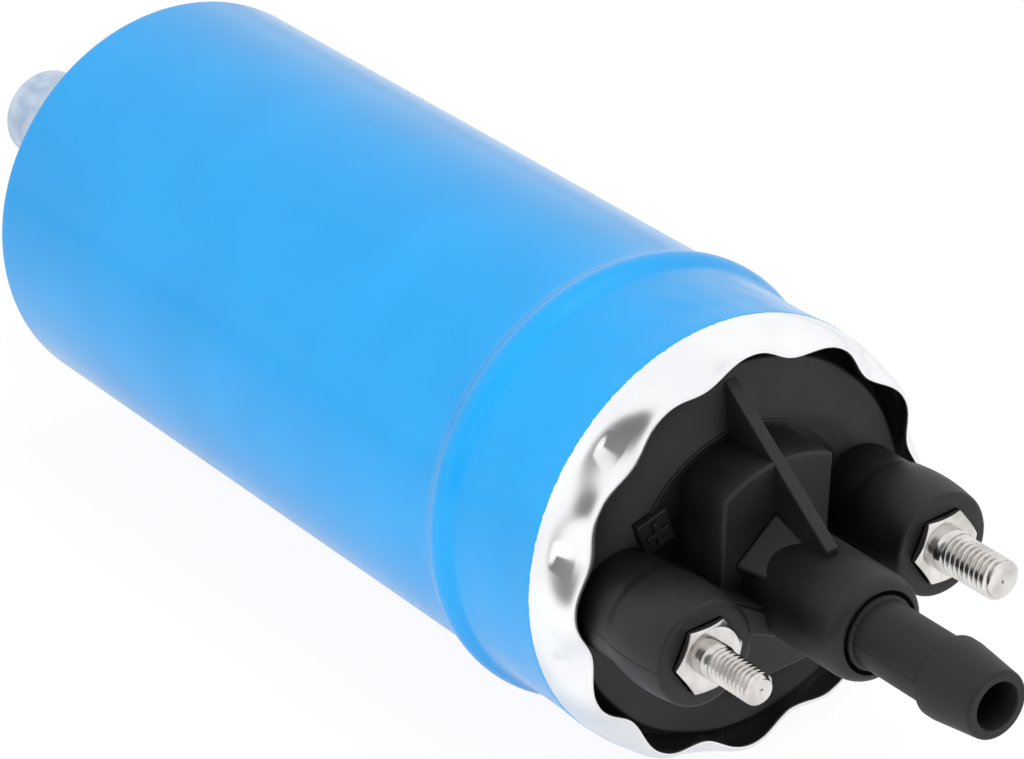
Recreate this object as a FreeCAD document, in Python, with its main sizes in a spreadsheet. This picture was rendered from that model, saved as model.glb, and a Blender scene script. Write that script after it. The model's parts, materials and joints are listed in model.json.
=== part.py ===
import FreeCAD, Part
import math
import os
import Sketcher
from FreeCAD import Placement, Rotation, Vector

# An inline fuel pump: a roller cell pump and its motor in one round can
# The X axis runs along the pump toward the outlet, Y toward the larger terminal and Z along the cap's rib
# A station is a distance along X from the outer face of the can's closed end
# The origin of the finished part lies on the axis, at the middle of the plain length that a clamp holds

sizes = {
    # How far a feature runs on into the piece that it joins or cuts
    "overlap": 1.0,
    # Sleeve and can
    "sleeve_radius": 26.0,
    "sleeve_wall": 0.5,
    "sleeve_fold": 2.5,
    "end_round": 1.0,
    "can_wall": 1.3,
    "can_floor": 2.0,
    "clamp_station": 48.0,
    "bead_before_lip": 18.1,
    "bead_height": 1.2,
    "bead_half_base": 2.5,
    "bead_half_crest": 0.9,
    "bead_round": 0.8,
    # Crimped lip
    "lip_setback": 0.4,
    "sleeve_setback": 0.1,
    "lip_swell": 0.7,
    "lip_length": 4.3,
    "lip_wall": 0.9,
    "lip_draw": 1.1,
    "dent_depth": 2.1,
    "lip_dents": 12,
    "lip_first_dent": 10.0,
    # Inlet
    "inlet_radius": 6.0,
    "inlet_bore": 4.0,
    "inlet_reach": 32.8,
    "inlet_round": 0.6,
    "inlet_neck_step": 0.5,
    "inlet_collar_radius": 9.0,
    "inlet_collar_thick": 1.7,
    "inlet_flange_radius": 10.0,
    "inlet_flange_thick": 1.3,
    "strainer_wall": 0.4,
    "strainer_length": 12.0,
    # Pump stack along the axis
    "stack_clearance": 0.1,
    "inlet_seal_thick": 1.5,
    "inlet_seal_width": 3.0,
    "inlet_seal_setback": 1.7,
    "suction_plate_thick": 6.0,
    "cam_ring_thick": 8.0,
    "discharge_plate_thick": 7.0,
    "flux_ring_length": 59.0,
    "brush_carrier_length": 16.0,
    "cap_flange_length": 14.6,
    # Roller cell
    "cam_ring_wall": 8.1,
    "cam_offset": 0.5,
    "rotor_clearance": 0.06,
    "roller_radius": 2.5,
    "roller_count": 5,
    "rotor_slot_depth": 5.8,
    "slot_clearance": 0.1,
    "port_radius": 1.8,
    "port_setback": 2.6,
    "recess_depth": 1.5,
    "recess_margin": 1.0,
    # Fasteners of the stack
    "bolt_setback": 3.7,
    "screw_radius": 1.5,
    "screw_head_radius": 2.6,
    "screw_head_thick": 2.6,
    "screw_drive_radius": 1.2,
    "pin_end_gap": 0.5,
    "hole_clearance": 0.1,
    "dowel_radius": 1.25,
    # Relief valve
    "relief_bore": 2.6,
    "relief_hole": 1.6,
    "relief_ball_radius": 2.4,
    "relief_seat_depth": 3.0,
    "spring_wire": 0.3,
    "spring_turns": 6,
    "spring_gap": 0.1,
    "seat_gap": 0.05,
    # Drive
    "shaft_radius": 3.0,
    "shaft_middle_radius": 3.5,
    "shaft_tail": 3.0,
    "coupling_radius": 7.5,
    "coupling_thick": 3.0,
    "coupling_gap": 0.4,
    "claw_radius": 1.2,
    "claw_circle": 5.3,
    "claw_length": 3.5,
    "running_gap": 0.03,
    "bush_radius": 5.0,
    "bush_length": 6.0,
    "washer_thick": 1.0,
    "washer_gap": 0.3,
    "washer_margin": 0.2,
    "bush_setback": 0.5,
    # Motor
    "flux_ring_wall": 2.5,
    "magnet_thick": 4.2,
    "magnet_arc": 124.0,
    "magnet_end_setback": 6.0,
    "magnet_setback": 11.0,
    "clip_thick": 0.8,
    "clip_arc": 50.0,
    "air_gap": 0.5,
    "core_end_setback": 11.0,
    "core_setback": 16.0,
    "core_slots": 8,
    "slot_mouth": 1.0,
    "tooth_tip_thick": 2.0,
    "slot_outer_half": 3.6,
    "slot_inner_radius": 7.8,
    "slot_inner_half": 1.3,
    "winding_gap": 0.2,
    "winding_setback": 0.6,
    "winding_overhang": 7.0,
    "collar_radius": 7.2,
    "collar_thick": 2.0,
    "commutator_setback": 0.2,
    "commutator_bar_thick": 1.8,
    "commutator_bar_arc": 41.0,
    "commutator_length": 13.0,
    "commutator_hub_rim": 1.5,
    # Brush gear
    "carrier_wall": 5.1,
    "tower_gap": 1.0,
    "tower_wall": 1.6,
    "brush_width": 6.0,
    "brush_height": 5.0,
    "brush_length": 6.0,
    "brush_gap": 0.1,
    "brush_setback": 4.5,
    "tube_wall": 0.5,
    "tube_setback": 2.1,
    "brush_spring_radius": 1.9,
    "brush_spring_wire": 0.2,
    "brush_spring_turns": 5,
    "strap_thick": 0.8,
    "strap_half_width": 2.4,
    "strap_nut_gap": 0.2,
    "strap_margin": 1.0,
    # End cap
    "cap_wall": 3.8,
    "cap_cavity_depth": 12.0,
    "cap_cone_run": 1.9,
    "cap_floor_rise": 3.0,
    "plateau_rise": 0.4,
    "plateau_radius": 15.2,
    "seal_groove_depth": 2.5,
    "seal_groove_width": 3.2,
    "seal_groove_start": 4.5,
    "hub_radius": 14.45,
    "hub_left": 8.0,
    "hub_right": 6.8,
    "hub_bottom": 11.7,
    "hub_rise": 7.8,
    "ledge_rise": 11.9,
    "ledge_reach": 10.9,
    "ledge_half_width": 3.0,
    "ledge_angle": 126.5,
    "web_tangent": 5.4,
    "web_top": 2.2,
    "web_root": 2.0,
    "web_reach": 12.0,
    "web_outer_bottom": 0.6,
    "rib_half_thick": 0.8,
    "rib_setback": 2.8,
    "rib_rise": 16.6,
    "rib_tip_radius": 7.1,
    "bush_boss_radius": 7.5,
    "bush_boss_length": 14.7,
    "bush_seat_depth": 10.2,
    "passage_radius": 2.5,
    "window_half_width": 2.0,
    "mark_pad_y": -12.1,
    "mark_pad_z": 6.9,
    "mark_pad_half": 2.0,
    "mark_pad_rise": 0.6,
    "mark_pad_turn": 15.6,
    "mark_height": 0.3,
    "mark_bar_half": 0.3,
    "mark_bar_reach": 1.2,
    # Terminals
    "terminal_setback": 7.7,
    "boss_root_radius": 6.3,
    "boss_collar_radius": 6.7,
    "boss_collar_length": 8.2,
    "boss_rise": 14.6,
    "boss_round": 1.3,
    "hex_across_flats": 8.0,
    "hex_thick": 2.3,
    "hex_recess_depth": 1.0,
    "hex_recess_gap": 0.25,
    "hex_chamfer": 0.5,
    "stud_land": 1.2,
    "land_oversize": 0.12,
    "thread_undersize": 0.06,
    "thread_depth_share": 0.6,
    "groove_mouth_share": 0.44,
    "groove_root_share": 0.08,
    "groove_overlap": 0.04,
    "m5_radius": 2.5,
    "m5_pitch": 0.8,
    "m5_reach": 8.9,
    "m4_radius": 2.0,
    "m4_pitch": 0.7,
    "m4_reach": 8.2,
    "tip_chamfer": 0.5,
    "stud_seal_thick": 0.9,
    "stud_seal_margin": 0.4,
    "stud_nut_thick": 3.2,
    "stud_nut_across_flats": 6.8,
    "stud_tail": 1.0,
    # Outlet
    "outlet_boss_radius": 6.35,
    "outlet_boss_rise": 23.8,
    "outlet_boss_round": 1.4,
    "outlet_recess_radius": 4.9,
    "outlet_recess_depth": 1.0,
    "chamber_depth": 20.3,
    "nozzle_radius": 4.05,
    "nozzle_bore": 2.7,
    "nozzle_gap": 0.05,
    "nozzle_seat": 10.8,
    "barb_start": 10.9,
    "barb_radius": 4.75,
    "barb_slope": 0.5,
    "barb_land": 1.2,
    "nozzle_reach": 19.2,
    "nozzle_tip_radius": 3.95,
    "nozzle_tip_round": 0.5,
    # Outlet valve
    "valve_seat_thick": 1.2,
    "valve_seat_hole": 2.2,
    "valve_head_radius": 3.2,
    "valve_head_thick": 1.6,
    "valve_stem_radius": 1.2,
    "valve_stem_length": 3.0,
    "valve_spring_radius": 3.1,
}

doc = FreeCAD.newDocument("FuelPump")
sheet = doc.addObject("Spreadsheet::Sheet", "Sizes")


class Size:
    """A size as a number, together with the spreadsheet expression that gives it."""

    def __init__(self, value, text):
        self.value = value
        self.text = text

    def __add__(self, other):
        other = as_size(other)
        return Size(self.value + other.value, f"({self.text} + {other.text})")

    def __sub__(self, other):
        other = as_size(other)
        return Size(self.value - other.value, f"({self.text} - {other.text})")

    def __mul__(self, other):
        other = as_size(other)
        return Size(self.value * other.value, f"({self.text} * {other.text})")

    def __truediv__(self, other):
        other = as_size(other)
        return Size(self.value / other.value, f"({self.text} / {other.text})")

    def __neg__(self):
        return Size(-self.value, f"(0 - {self.text})")

    def root(self):
        return Size(math.sqrt(self.value), f"sqrt({self.text})")

    def sine(self):
        return Size(math.sin(math.radians(self.value)), f"sin({self.text})")

    def cosine(self):
        return Size(math.cos(math.radians(self.value)), f"cos({self.text})")


def as_size(number):
    if isinstance(number, Size):
        return number
    return Size(float(number), f"({float(number)})")


class Sheet:
    """The driving sizes, each read by its name."""

    def __init__(self, rows):
        for row, (name, value) in enumerate(rows.items(), start=1):
            sheet.set(f"A{row}", name)
            sheet.set(f"B{row}", str(value))
            sheet.setAlias(f"B{row}", name)
            setattr(self, name, Size(float(value), f"Sizes.{name}"))


dim = Sheet(sizes)
doc.recompute()

# Stations of the stack, from the closed end to the cap
floor_inner = dim.sleeve_wall + dim.can_floor
suction_start = floor_inner + dim.inlet_seal_thick
cam_start = suction_start + dim.suction_plate_thick
discharge_start = cam_start + dim.cam_ring_thick
ring_start = discharge_start + dim.discharge_plate_thick
carrier_start = ring_start + dim.flux_ring_length
cap_start = carrier_start + dim.brush_carrier_length
cap_shoulder = cap_start + dim.cap_flange_length
lip_start = cap_shoulder + dim.lip_setback
sleeve_end = lip_start - dim.sleeve_setback
bead_station = lip_start - dim.bead_before_lip

# Radii that several pieces share
can_outer = dim.sleeve_radius - dim.sleeve_wall
can_inner = can_outer - dim.can_wall
stack_radius = can_inner - dim.stack_clearance
flux_inner = stack_radius - dim.flux_ring_wall
magnet_inner = flux_inner - dim.magnet_thick
core_radius = magnet_inner - dim.air_gap
slot_outer_radius = core_radius - dim.tooth_tip_thick
winding_radius = slot_outer_radius - dim.winding_setback
commutator_radius = (core_radius + dim.shaft_middle_radius) / 2 - dim.commutator_setback
cam_bore = stack_radius - dim.cam_ring_wall
bolt_circle = stack_radius - dim.bolt_setback
carrier_bore = stack_radius - dim.carrier_wall
tower_inner = commutator_radius + dim.tower_gap
tube_outer_end = stack_radius - dim.tube_setback
cap_cavity_radius = stack_radius - dim.cap_wall
terminal_place = stack_radius - dim.terminal_setback
neck_radius = dim.inlet_radius + dim.inlet_neck_step

# Stations of the cap's outside
cap_floor = cap_shoulder + dim.cap_floor_rise
plateau = cap_floor + dim.plateau_rise
hub_front = plateau + dim.hub_rise
ledge_front = plateau + dim.ledge_rise
boss_front = plateau + dim.boss_rise
outlet_front = plateau + dim.outlet_boss_rise
cavity_top = cap_start + dim.cap_cavity_depth
chamber_start = outlet_front - dim.chamber_depth
hex_start = boss_front - dim.hex_recess_depth
hex_front = hex_start + dim.hex_thick
bush_boss_start = cavity_top - dim.bush_boss_length
brush_station = carrier_start + dim.brush_setback

zero = as_size(0)


def new_body(label):
    body = doc.addObject("PartDesign::Body", label)
    body.Label = label
    body.AllowCompound = True
    seat(body)
    return body


def seat(item):
    """Shift a piece from stations to the part's own origin."""
    item.setExpression("Placement.Base.x", f"0 - {dim.clamp_station.text}")


def plane_of(body, role):
    return next(item for item in body.Origin.OriginFeatures if item.Role == role)


def new_sketch(body, role, name, station=None):
    sketch = body.newObject("Sketcher::SketchObject", name)
    sketch.AttachmentSupport = [(plane_of(body, role), "")]
    sketch.MapMode = "FlatFace"
    if station is not None:
        sketch.AttachmentOffset = Placement(Vector(0, 0, station.value), Rotation())
        sketch.setExpression("AttachmentOffset.Base.z", station.text)
    return sketch


def bind(sketch, kind, *where):
    """Add a dimension to a sketch and tie it to its expression."""
    size = where[-1]
    index = sketch.addConstraint(Sketcher.Constraint(kind, *where[:-1], size.value))
    sketch.setExpression(f"Constraints[{index}]", size.text)


def add_loop(sketch, points):
    """Draw a closed outline of straight lines, each corner held by two dimensions."""
    points = [(as_size(a), as_size(b)) for a, b in points]
    first = sketch.GeometryCount
    count = len(points)
    corners = [Vector(a.value, b.value, 0) for a, b in points]
    for i in range(count):
        sketch.addGeometry(Part.LineSegment(corners[i], corners[(i + 1) % count]))
    for i in range(count):
        after = first + (i + 1) % count
        sketch.addConstraint(Sketcher.Constraint("Coincident", first + i, 2, after, 1))
    for i, (a, b) in enumerate(points):
        bind(sketch, "DistanceX", -1, 1, first + i, 1, a)
        bind(sketch, "DistanceY", -1, 1, first + i, 1, b)


def add_circle(sketch, across, up, radius):
    across = as_size(across)
    up = as_size(up)
    centre = Vector(across.value, up.value, 0)
    index = sketch.addGeometry(Part.Circle(centre, Vector(0, 0, 1), radius.value))
    bind(sketch, "DistanceX", -1, 1, index, 3, across)
    bind(sketch, "DistanceY", -1, 1, index, 3, up)
    bind(sketch, "Radius", index, radius)


def spin(body, name, points, role="XY_Plane", arc=None, cut=False):
    """Turn an outline of (station, radius) points about the pump's axis."""
    sketch = new_sketch(body, role, f"{name}_profile")
    add_loop(sketch, points)
    kind = "PartDesign::Groove" if cut else "PartDesign::Revolution"
    feature = body.newObject(kind, name)
    feature.Profile = sketch
    feature.ReferenceAxis = (sketch, ["H_Axis"])
    feature.Angle = 360
    if arc is not None:
        feature.Midplane = True
        feature.setExpression("Angle", arc.text)
    return feature


def tube(body, name, start, end, outer, inner):
    return spin(body, name, [(start, inner), (end, inner), (end, outer), (start, outer)])


def pad(body, name, start, end, draw):
    """Raise what draw puts in a sketch across the axis, from one station to another."""
    sketch = new_sketch(body, "YZ_Plane", f"{name}_sketch", start)
    draw(sketch)
    feature = body.newObject("PartDesign::Pad", name)
    feature.Profile = sketch
    feature.setExpression("Length", (end - start).text)
    return feature


def pocket(body, name, start, end, draw):
    """Cut what draw puts in a sketch across the axis, from the end station back to the start."""
    doc.recompute()
    before = body.Shape.Volume
    sketch = new_sketch(body, "YZ_Plane", f"{name}_sketch", end)
    draw(sketch)
    feature = body.newObject("PartDesign::Pocket", name)
    feature.Profile = sketch
    feature.setExpression("Length", (end - start).text)
    doc.recompute()
    if body.Shape.Volume >= before:
        raise RuntimeError(f"{name} cuts nothing from {body.Label}")
    return feature


def repeat(body, name, features, count):
    """Repeat features around the pump's axis."""
    pattern = body.newObject("PartDesign::PolarPattern", name)
    pattern.Originals = features
    pattern.Axis = (plane_of(body, "X_Axis"), [""])
    pattern.Angle = 360
    pattern.setExpression("Occurrences", as_size(count).text)
    body.Tip = pattern
    return pattern


def ring_edges(feature, places):
    """Names of the round edges about the axis at these (station, radius) places."""
    doc.recompute()
    names = []
    for number, edge in enumerate(feature.Shape.Edges, start=1):
        curve = edge.Curve
        if not isinstance(curve, Part.Circle):
            continue
        for station, radius in places:
            near = abs(curve.Center.x - station.value) < 0.02
            if near and abs(curve.Radius - radius.value) < 0.02 and abs(curve.Center.y) < 0.02:
                names.append(f"Edge{number}")
    return names


def round_rings(body, name, feature, places, radius):
    names = ring_edges(feature, places)
    fillet = body.newObject("PartDesign::Fillet", name)
    fillet.Base = (feature, names)
    fillet.setExpression("Radius", radius.text)
    return fillet


def box_outline(across, up, half_across, half_up):
    return [
        (across - half_across, up - half_up),
        (across + half_across, up - half_up),
        (across + half_across, up + half_up),
        (across - half_across, up + half_up),
    ]


def turned_outline(across, up, half_across, half_up, angle):
    """A rectangle about a centre, turned by an angle."""
    turn_cos = angle.cosine()
    turn_sin = angle.sine()
    corners = []
    for sign_a, sign_b in ((-1, -1), (1, -1), (1, 1), (-1, 1)):
        a = half_across * sign_a
        b = half_up * sign_b
        corners.append((across + a * turn_cos - b * turn_sin, up + a * turn_sin + b * turn_cos))
    return corners


def polar(radius, degrees):
    angle = as_size(degrees)
    return radius * angle.cosine(), radius * angle.sine()


def coil(label, start, end, radius, wire, turns):
    """A compression spring: a round wire along a helix, standing on the XY plane of its own frame."""
    height = end - start
    helix = doc.addObject("Part::Helix", f"{label}_helix")
    helix.setExpression("Radius", radius.text)
    helix.setExpression("Height", height.text)
    helix.setExpression("Pitch", (height / turns).text)
    section = doc.addObject("Part::Circle", f"{label}_wire")
    section.setExpression("Radius", wire.text)
    section.Placement = Placement(Vector(radius.value, 0, 0), Rotation(Vector(1, 0, 0), 90))
    section.setExpression("Placement.Base.x", radius.text)
    sweep = doc.addObject("Part::Sweep", label)
    sweep.Label = label
    sweep.Sections = [section]
    sweep.Spine = (helix, ["Edge1"])
    sweep.Solid = True
    sweep.Frenet = True
    return sweep


def lay_along_x(item, station, across=zero, up=zero):
    """Turn a piece built along its own Z to lie along X from a station."""
    item.Placement = Placement(Vector(0, 0, 0), Rotation(Vector(0, 1, 0), 90))
    item.setExpression("Placement.Base.x", (station - dim.clamp_station).text)
    item.setExpression("Placement.Base.y", across.text)
    item.setExpression("Placement.Base.z", up.text)


# Shell


def bead_points(radius, trim):
    """The raised bead's outline over a radius, its flanks moved in by the trim."""
    half_base = dim.bead_half_base - trim
    half_crest = dim.bead_half_crest - trim
    top = radius + dim.bead_height
    return [
        (bead_station - half_base, radius),
        (bead_station - half_crest, top),
        (bead_station + half_crest, top),
        (bead_station + half_base, radius),
    ]


def make_sleeve():
    body = new_body("shrink_sleeve")
    fold_radius = dim.sleeve_radius - dim.sleeve_fold
    outer = bead_points(dim.sleeve_radius, zero)
    inner = bead_points(can_outer, dim.sleeve_wall / 4)
    points = [(0, fold_radius), (0, dim.sleeve_radius)] + outer
    points += [(sleeve_end, dim.sleeve_radius), (sleeve_end, can_outer)] + inner[::-1]
    points += [(dim.sleeve_wall, can_outer), (dim.sleeve_wall, fold_radius)]
    film = spin(body, "film", points)
    crest = round_rings(body, "bead_rounds", film, outer, dim.bead_round)
    round_rings(body, "end_round", crest, [(zero, dim.sleeve_radius)], dim.end_round)
    return body


def wave_radius(mean, swing, degrees):
    """Radius of the dented lip at an angle: smallest at each dent."""
    dents = dim.lip_dents.value
    return mean - swing * math.cos(math.radians(dents * (degrees - dim.lip_first_dent.value)))


def wave_wire(station, peak, valley):
    """A closed smooth wire across the axis that dips at each dent."""
    mean = (peak + valley) / 2
    swing = (peak - valley) / 2
    count = int(dim.lip_dents.value) * 4
    points = []
    for i in range(count):
        degrees = 360 * i / count + dim.lip_first_dent.value
        radius = wave_radius(mean, swing, degrees)
        angle = math.radians(degrees)
        points.append(Vector(station, radius * math.cos(angle), radius * math.sin(angle)))
    curve = Part.BSplineCurve()
    curve.interpolate(points, PeriodicFlag=True)
    return Part.Wire(curve.toShape())


def round_wire(station, radius):
    """A closed round wire across the axis, starting at the first dent."""
    circle = Part.Circle(Vector(station, 0, 0), Vector(1, 0, 0), radius)
    edge = circle.toShape()
    start = Vector(0, 1, 0)
    have = edge.valueAt(edge.FirstParameter) - Vector(station, 0, 0)
    turn = math.degrees(math.atan2(have.y * start.z - have.z * start.y, have.dot(start)))
    edge.rotate(Vector(station, 0, 0), Vector(1, 0, 0), turn + dim.lip_first_dent.value)
    return Part.Wire(edge)


def lip_shape():
    """The crimped lip: a short cone from a round root to a dented edge, hollowed by a like cone."""
    start = lip_start.value
    length = dim.lip_length.value
    wall = dim.lip_wall.value
    root = can_outer.value + dim.lip_swell.value
    inner_root = can_inner.value
    peak = (can_outer - dim.lip_draw).value
    valley = peak - dim.dent_depth.value
    half = start + length / 2
    middle_peak = (root + peak + wall) / 2 + wall / 3
    middle_valley = (root + valley + wall) / 2 + wall / 3
    outside = [
        round_wire(start, root),
        wave_wire(half, middle_peak, middle_valley),
        wave_wire(start + length, peak + wall, valley + wall),
    ]
    inside = [
        round_wire(start, inner_root),
        wave_wire(half, middle_peak - wall, middle_valley - wall),
        wave_wire(start + length, peak, valley),
    ]
    return Part.makeLoft(outside, True).cut(Part.makeLoft(inside, True))


def make_can():
    shell = new_body("can_shell")
    outer = bead_points(can_outer, dim.sleeve_wall / 4)
    inner = bead_points(can_inner, dim.can_wall / 2)
    base = dim.sleeve_wall
    points = [(base, neck_radius), (base, can_outer)] + outer
    points += [(lip_start, can_outer), (lip_start, can_inner)] + inner[::-1]
    points += [(floor_inner, can_inner), (floor_inner, neck_radius)]
    spin(shell, "shell", points)
    lip = doc.addObject("Part::Feature", "can_lip")
    lip.Shape = lip_shape()
    seat(lip)
    whole = doc.addObject("Part::Fuse", "pump_can")
    whole.Label = "pump_can"
    whole.Base = shell
    whole.Tool = lip
    return whole


def make_inlet_fitting():
    body = new_body("inlet_fitting")
    collar_face = dim.sleeve_wall - dim.inlet_collar_thick
    flange_face = floor_inner + dim.inlet_flange_thick
    points = [
        (-dim.inlet_reach, dim.inlet_bore),
        (-dim.inlet_reach, dim.inlet_radius),
        (collar_face, dim.inlet_radius),
        (collar_face, dim.inlet_collar_radius),
        (dim.sleeve_wall, dim.inlet_collar_radius),
        (dim.sleeve_wall, neck_radius),
        (floor_inner, neck_radius),
        (floor_inner, dim.inlet_flange_radius),
        (flange_face, dim.inlet_flange_radius),
        (flange_face, dim.inlet_bore),
    ]
    stub = spin(body, "stub", points)
    round_rings(body, "mouth_round", stub, [(-dim.inlet_reach, dim.inlet_radius)], dim.inlet_round)
    return body


def make_strainer():
    body = new_body("inlet_strainer")
    outer = dim.inlet_bore
    inner = outer - dim.strainer_wall
    end = floor_inner + dim.inlet_flange_thick
    start = end - dim.strainer_length
    floor = start + dim.strainer_wall
    spin(body, "cup", [(start, 0), (start, outer), (end, outer), (end, inner), (floor, inner), (floor, 0)])
    return body


# Pump end

port_angles = (60, 90, 120)
screw_angles = (30, 150, 270)
dowel_angles = (90, 210)
relief_angle = 330
port_circle = cam_bore - dim.port_setback


def draw_ring_of(radius, circle, angles):
    """A sketch drawer for equal round holes on a circle."""

    def draw(sketch):
        for degrees in angles:
            across, up = polar(circle, degrees)
            add_circle(sketch, across, up, radius)

    return draw


def draw_relief(radius):
    return draw_ring_of(radius, bolt_circle, [relief_angle])


def make_inlet_seal():
    body = new_body("inlet_seal")
    outer = can_inner - dim.inlet_seal_setback
    tube(body, "ring", floor_inner, suction_start, outer, outer - dim.inlet_seal_width)
    return body


coupling_start = cam_start - dim.coupling_gap - dim.coupling_thick
recess_floor = coupling_start - dim.coupling_gap


def make_suction_plate():
    body = new_body("suction_plate")
    recess_end = suction_start + dim.recess_depth
    recess_radius = cam_bore + dim.recess_margin
    coupling_room = dim.coupling_radius + dim.coupling_gap
    points = [
        (suction_start, stack_radius),
        (cam_start, stack_radius),
        (cam_start, coupling_room),
        (recess_floor, coupling_room),
        (recess_floor, 0),
        (recess_end, 0),
        (recess_end, recess_radius),
        (suction_start, recess_radius),
    ]
    spin(body, "plate", points)
    tapped = draw_ring_of(dim.screw_radius, bolt_circle, screw_angles)
    pocket(body, "tapped_holes", suction_start, cam_start, tapped)
    pins = draw_ring_of(dim.dowel_radius, bolt_circle, dowel_angles)
    pocket(body, "dowel_holes", suction_start, cam_start, pins)
    ports = draw_ring_of(dim.port_radius, port_circle, port_angles)
    pocket(body, "suction_ports", suction_start, cam_start, ports)
    pocket(body, "relief_outlet", suction_start, cam_start, draw_relief(dim.relief_hole))
    pocket(body, "relief_bore", suction_start + dim.recess_depth, cam_start, draw_relief(dim.relief_bore))
    return body


def make_cam_ring():
    body = new_body("cam_ring")

    def draw(sketch):
        add_circle(sketch, 0, 0, stack_radius)
        add_circle(sketch, dim.cam_offset, 0, cam_bore)

    pad(body, "ring", cam_start, discharge_start, draw)
    free = draw_ring_of(dim.screw_radius + dim.hole_clearance, bolt_circle, screw_angles)
    pocket(body, "screw_holes", cam_start, discharge_start, free)
    pins = draw_ring_of(dim.dowel_radius, bolt_circle, dowel_angles)
    pocket(body, "dowel_holes", cam_start, discharge_start, pins)
    pocket(body, "relief_bore", cam_start, discharge_start, draw_relief(dim.relief_bore))
    return body


rotor_start = cam_start + dim.rotor_clearance
rotor_end = discharge_start - dim.rotor_clearance


def make_rotor():
    body = new_body("pump_rotor")
    radius = cam_bore - dim.cam_offset - dim.rotor_clearance

    def draw(sketch):
        add_circle(sketch, 0, 0, radius)
        add_circle(sketch, 0, 0, dim.shaft_radius + dim.running_gap)

    pad(body, "disc", rotor_start, rotor_end, draw)
    half_slot = dim.roller_radius + dim.cam_offset + dim.slot_clearance

    def draw_slot(sketch):
        slot_floor = cam_bore - dim.rotor_slot_depth
        outline = [
            (slot_floor, -half_slot),
            (cam_bore, -half_slot),
            (cam_bore, half_slot),
            (slot_floor, half_slot),
        ]
        add_loop(sketch, outline)

    slot = pocket(body, "slot", rotor_start, rotor_end, draw_slot)
    repeat(body, "slots", [slot], dim.roller_count)
    holes = draw_ring_of(dim.claw_radius + dim.hole_clearance, dim.claw_circle, (0, 180))
    pocket(body, "claw_holes", rotor_start, rotor_end, holes)
    return body


def make_rollers():
    body = new_body("rollers")
    pitch_circle = cam_bore - dim.roller_radius - dim.rotor_clearance

    def draw(sketch):
        add_circle(sketch, pitch_circle, 0, dim.roller_radius)

    first = pad(body, "roller", rotor_start, rotor_end, draw)
    repeat(body, "roller_ring", [first], dim.roller_count)
    body.setExpression("Placement.Base.y", dim.cam_offset.text)
    return body


relief_seat = ring_start - dim.relief_seat_depth
screw_head_start = ring_start - dim.screw_head_thick - dim.hole_clearance


def make_discharge_plate():
    body = new_body("discharge_plate")
    tube(body, "plate", discharge_start, ring_start, stack_radius, dim.bush_radius)
    free = draw_ring_of(dim.screw_radius + dim.hole_clearance, bolt_circle, screw_angles)
    pocket(body, "screw_holes", discharge_start, ring_start, free)
    heads = draw_ring_of(dim.screw_head_radius + dim.hole_clearance, bolt_circle, screw_angles)
    pocket(body, "head_seats", screw_head_start, ring_start, heads)
    pins = draw_ring_of(dim.dowel_radius, bolt_circle, dowel_angles)
    pocket(body, "dowel_holes", discharge_start, screw_head_start, pins)
    far_side = [degrees + 180 for degrees in port_angles]
    ports = draw_ring_of(dim.port_radius, port_circle, far_side)
    pocket(body, "discharge_ports", discharge_start, ring_start, ports)
    pocket(body, "relief_inlet", relief_seat, ring_start, draw_relief(dim.relief_hole))
    pocket(body, "relief_bore", discharge_start, relief_seat, draw_relief(dim.relief_bore))
    return body


def make_screws():
    body = new_body("pump_screws")
    shank = draw_ring_of(dim.screw_radius, bolt_circle, screw_angles)
    head = draw_ring_of(dim.screw_head_radius, bolt_circle, screw_angles)
    head_end = screw_head_start + dim.screw_head_thick
    pad(body, "shanks", suction_start + dim.pin_end_gap, screw_head_start, shank)
    pad(body, "heads", screw_head_start, head_end, head)
    drive = draw_ring_of(dim.screw_drive_radius, bolt_circle, screw_angles)
    pocket(body, "drives", head_end - dim.screw_head_thick / 2, head_end, drive)
    return body


def make_dowels():
    body = new_body("dowel_pins")
    pins = draw_ring_of(dim.dowel_radius, bolt_circle, dowel_angles)
    pad(body, "pins", suction_start + dim.pin_end_gap, screw_head_start - dim.pin_end_gap, pins)
    return body


# How far the ball's centre lies behind the rim that it closes
ball_drop = (dim.relief_ball_radius * dim.relief_ball_radius - dim.relief_hole * dim.relief_hole).root()
ball_centre = relief_seat - ball_drop - dim.seat_gap


def make_relief_ball():
    ball = doc.addObject("Part::Sphere", "relief_ball")
    ball.Label = "relief_ball"
    ball.setExpression("Radius", dim.relief_ball_radius.text)
    across, up = polar(bolt_circle, relief_angle)
    ball.setExpression("Placement.Base.x", (ball_centre - dim.clamp_station).text)
    ball.setExpression("Placement.Base.y", across.text)
    ball.setExpression("Placement.Base.z", up.text)
    return ball


def make_relief_spring():
    start = suction_start + dim.recess_depth + dim.spring_wire + dim.spring_gap
    end = ball_centre - dim.relief_ball_radius - dim.spring_wire - dim.spring_gap
    radius = dim.relief_bore - dim.spring_wire - dim.spring_gap * 2
    spring = coil("relief_spring", start, end, radius, dim.spring_wire, dim.spring_turns)
    across, up = polar(bolt_circle, relief_angle)
    lay_along_x(spring, start, across, up)
    return spring


# Drive and armature

shaft_start = coupling_start
shaft_shoulder = ring_start + dim.washer_gap + dim.washer_thick
core_start = ring_start + dim.core_setback
core_end = carrier_start - dim.core_end_setback
commutator_start = brush_station - dim.commutator_length / 2
commutator_end = commutator_start + dim.commutator_length
hub_end = bush_boss_start - dim.washer_gap - dim.washer_thick
bush_seat_end = bush_boss_start + dim.bush_seat_depth
shaft_end = bush_seat_end - dim.washer_gap


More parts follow.
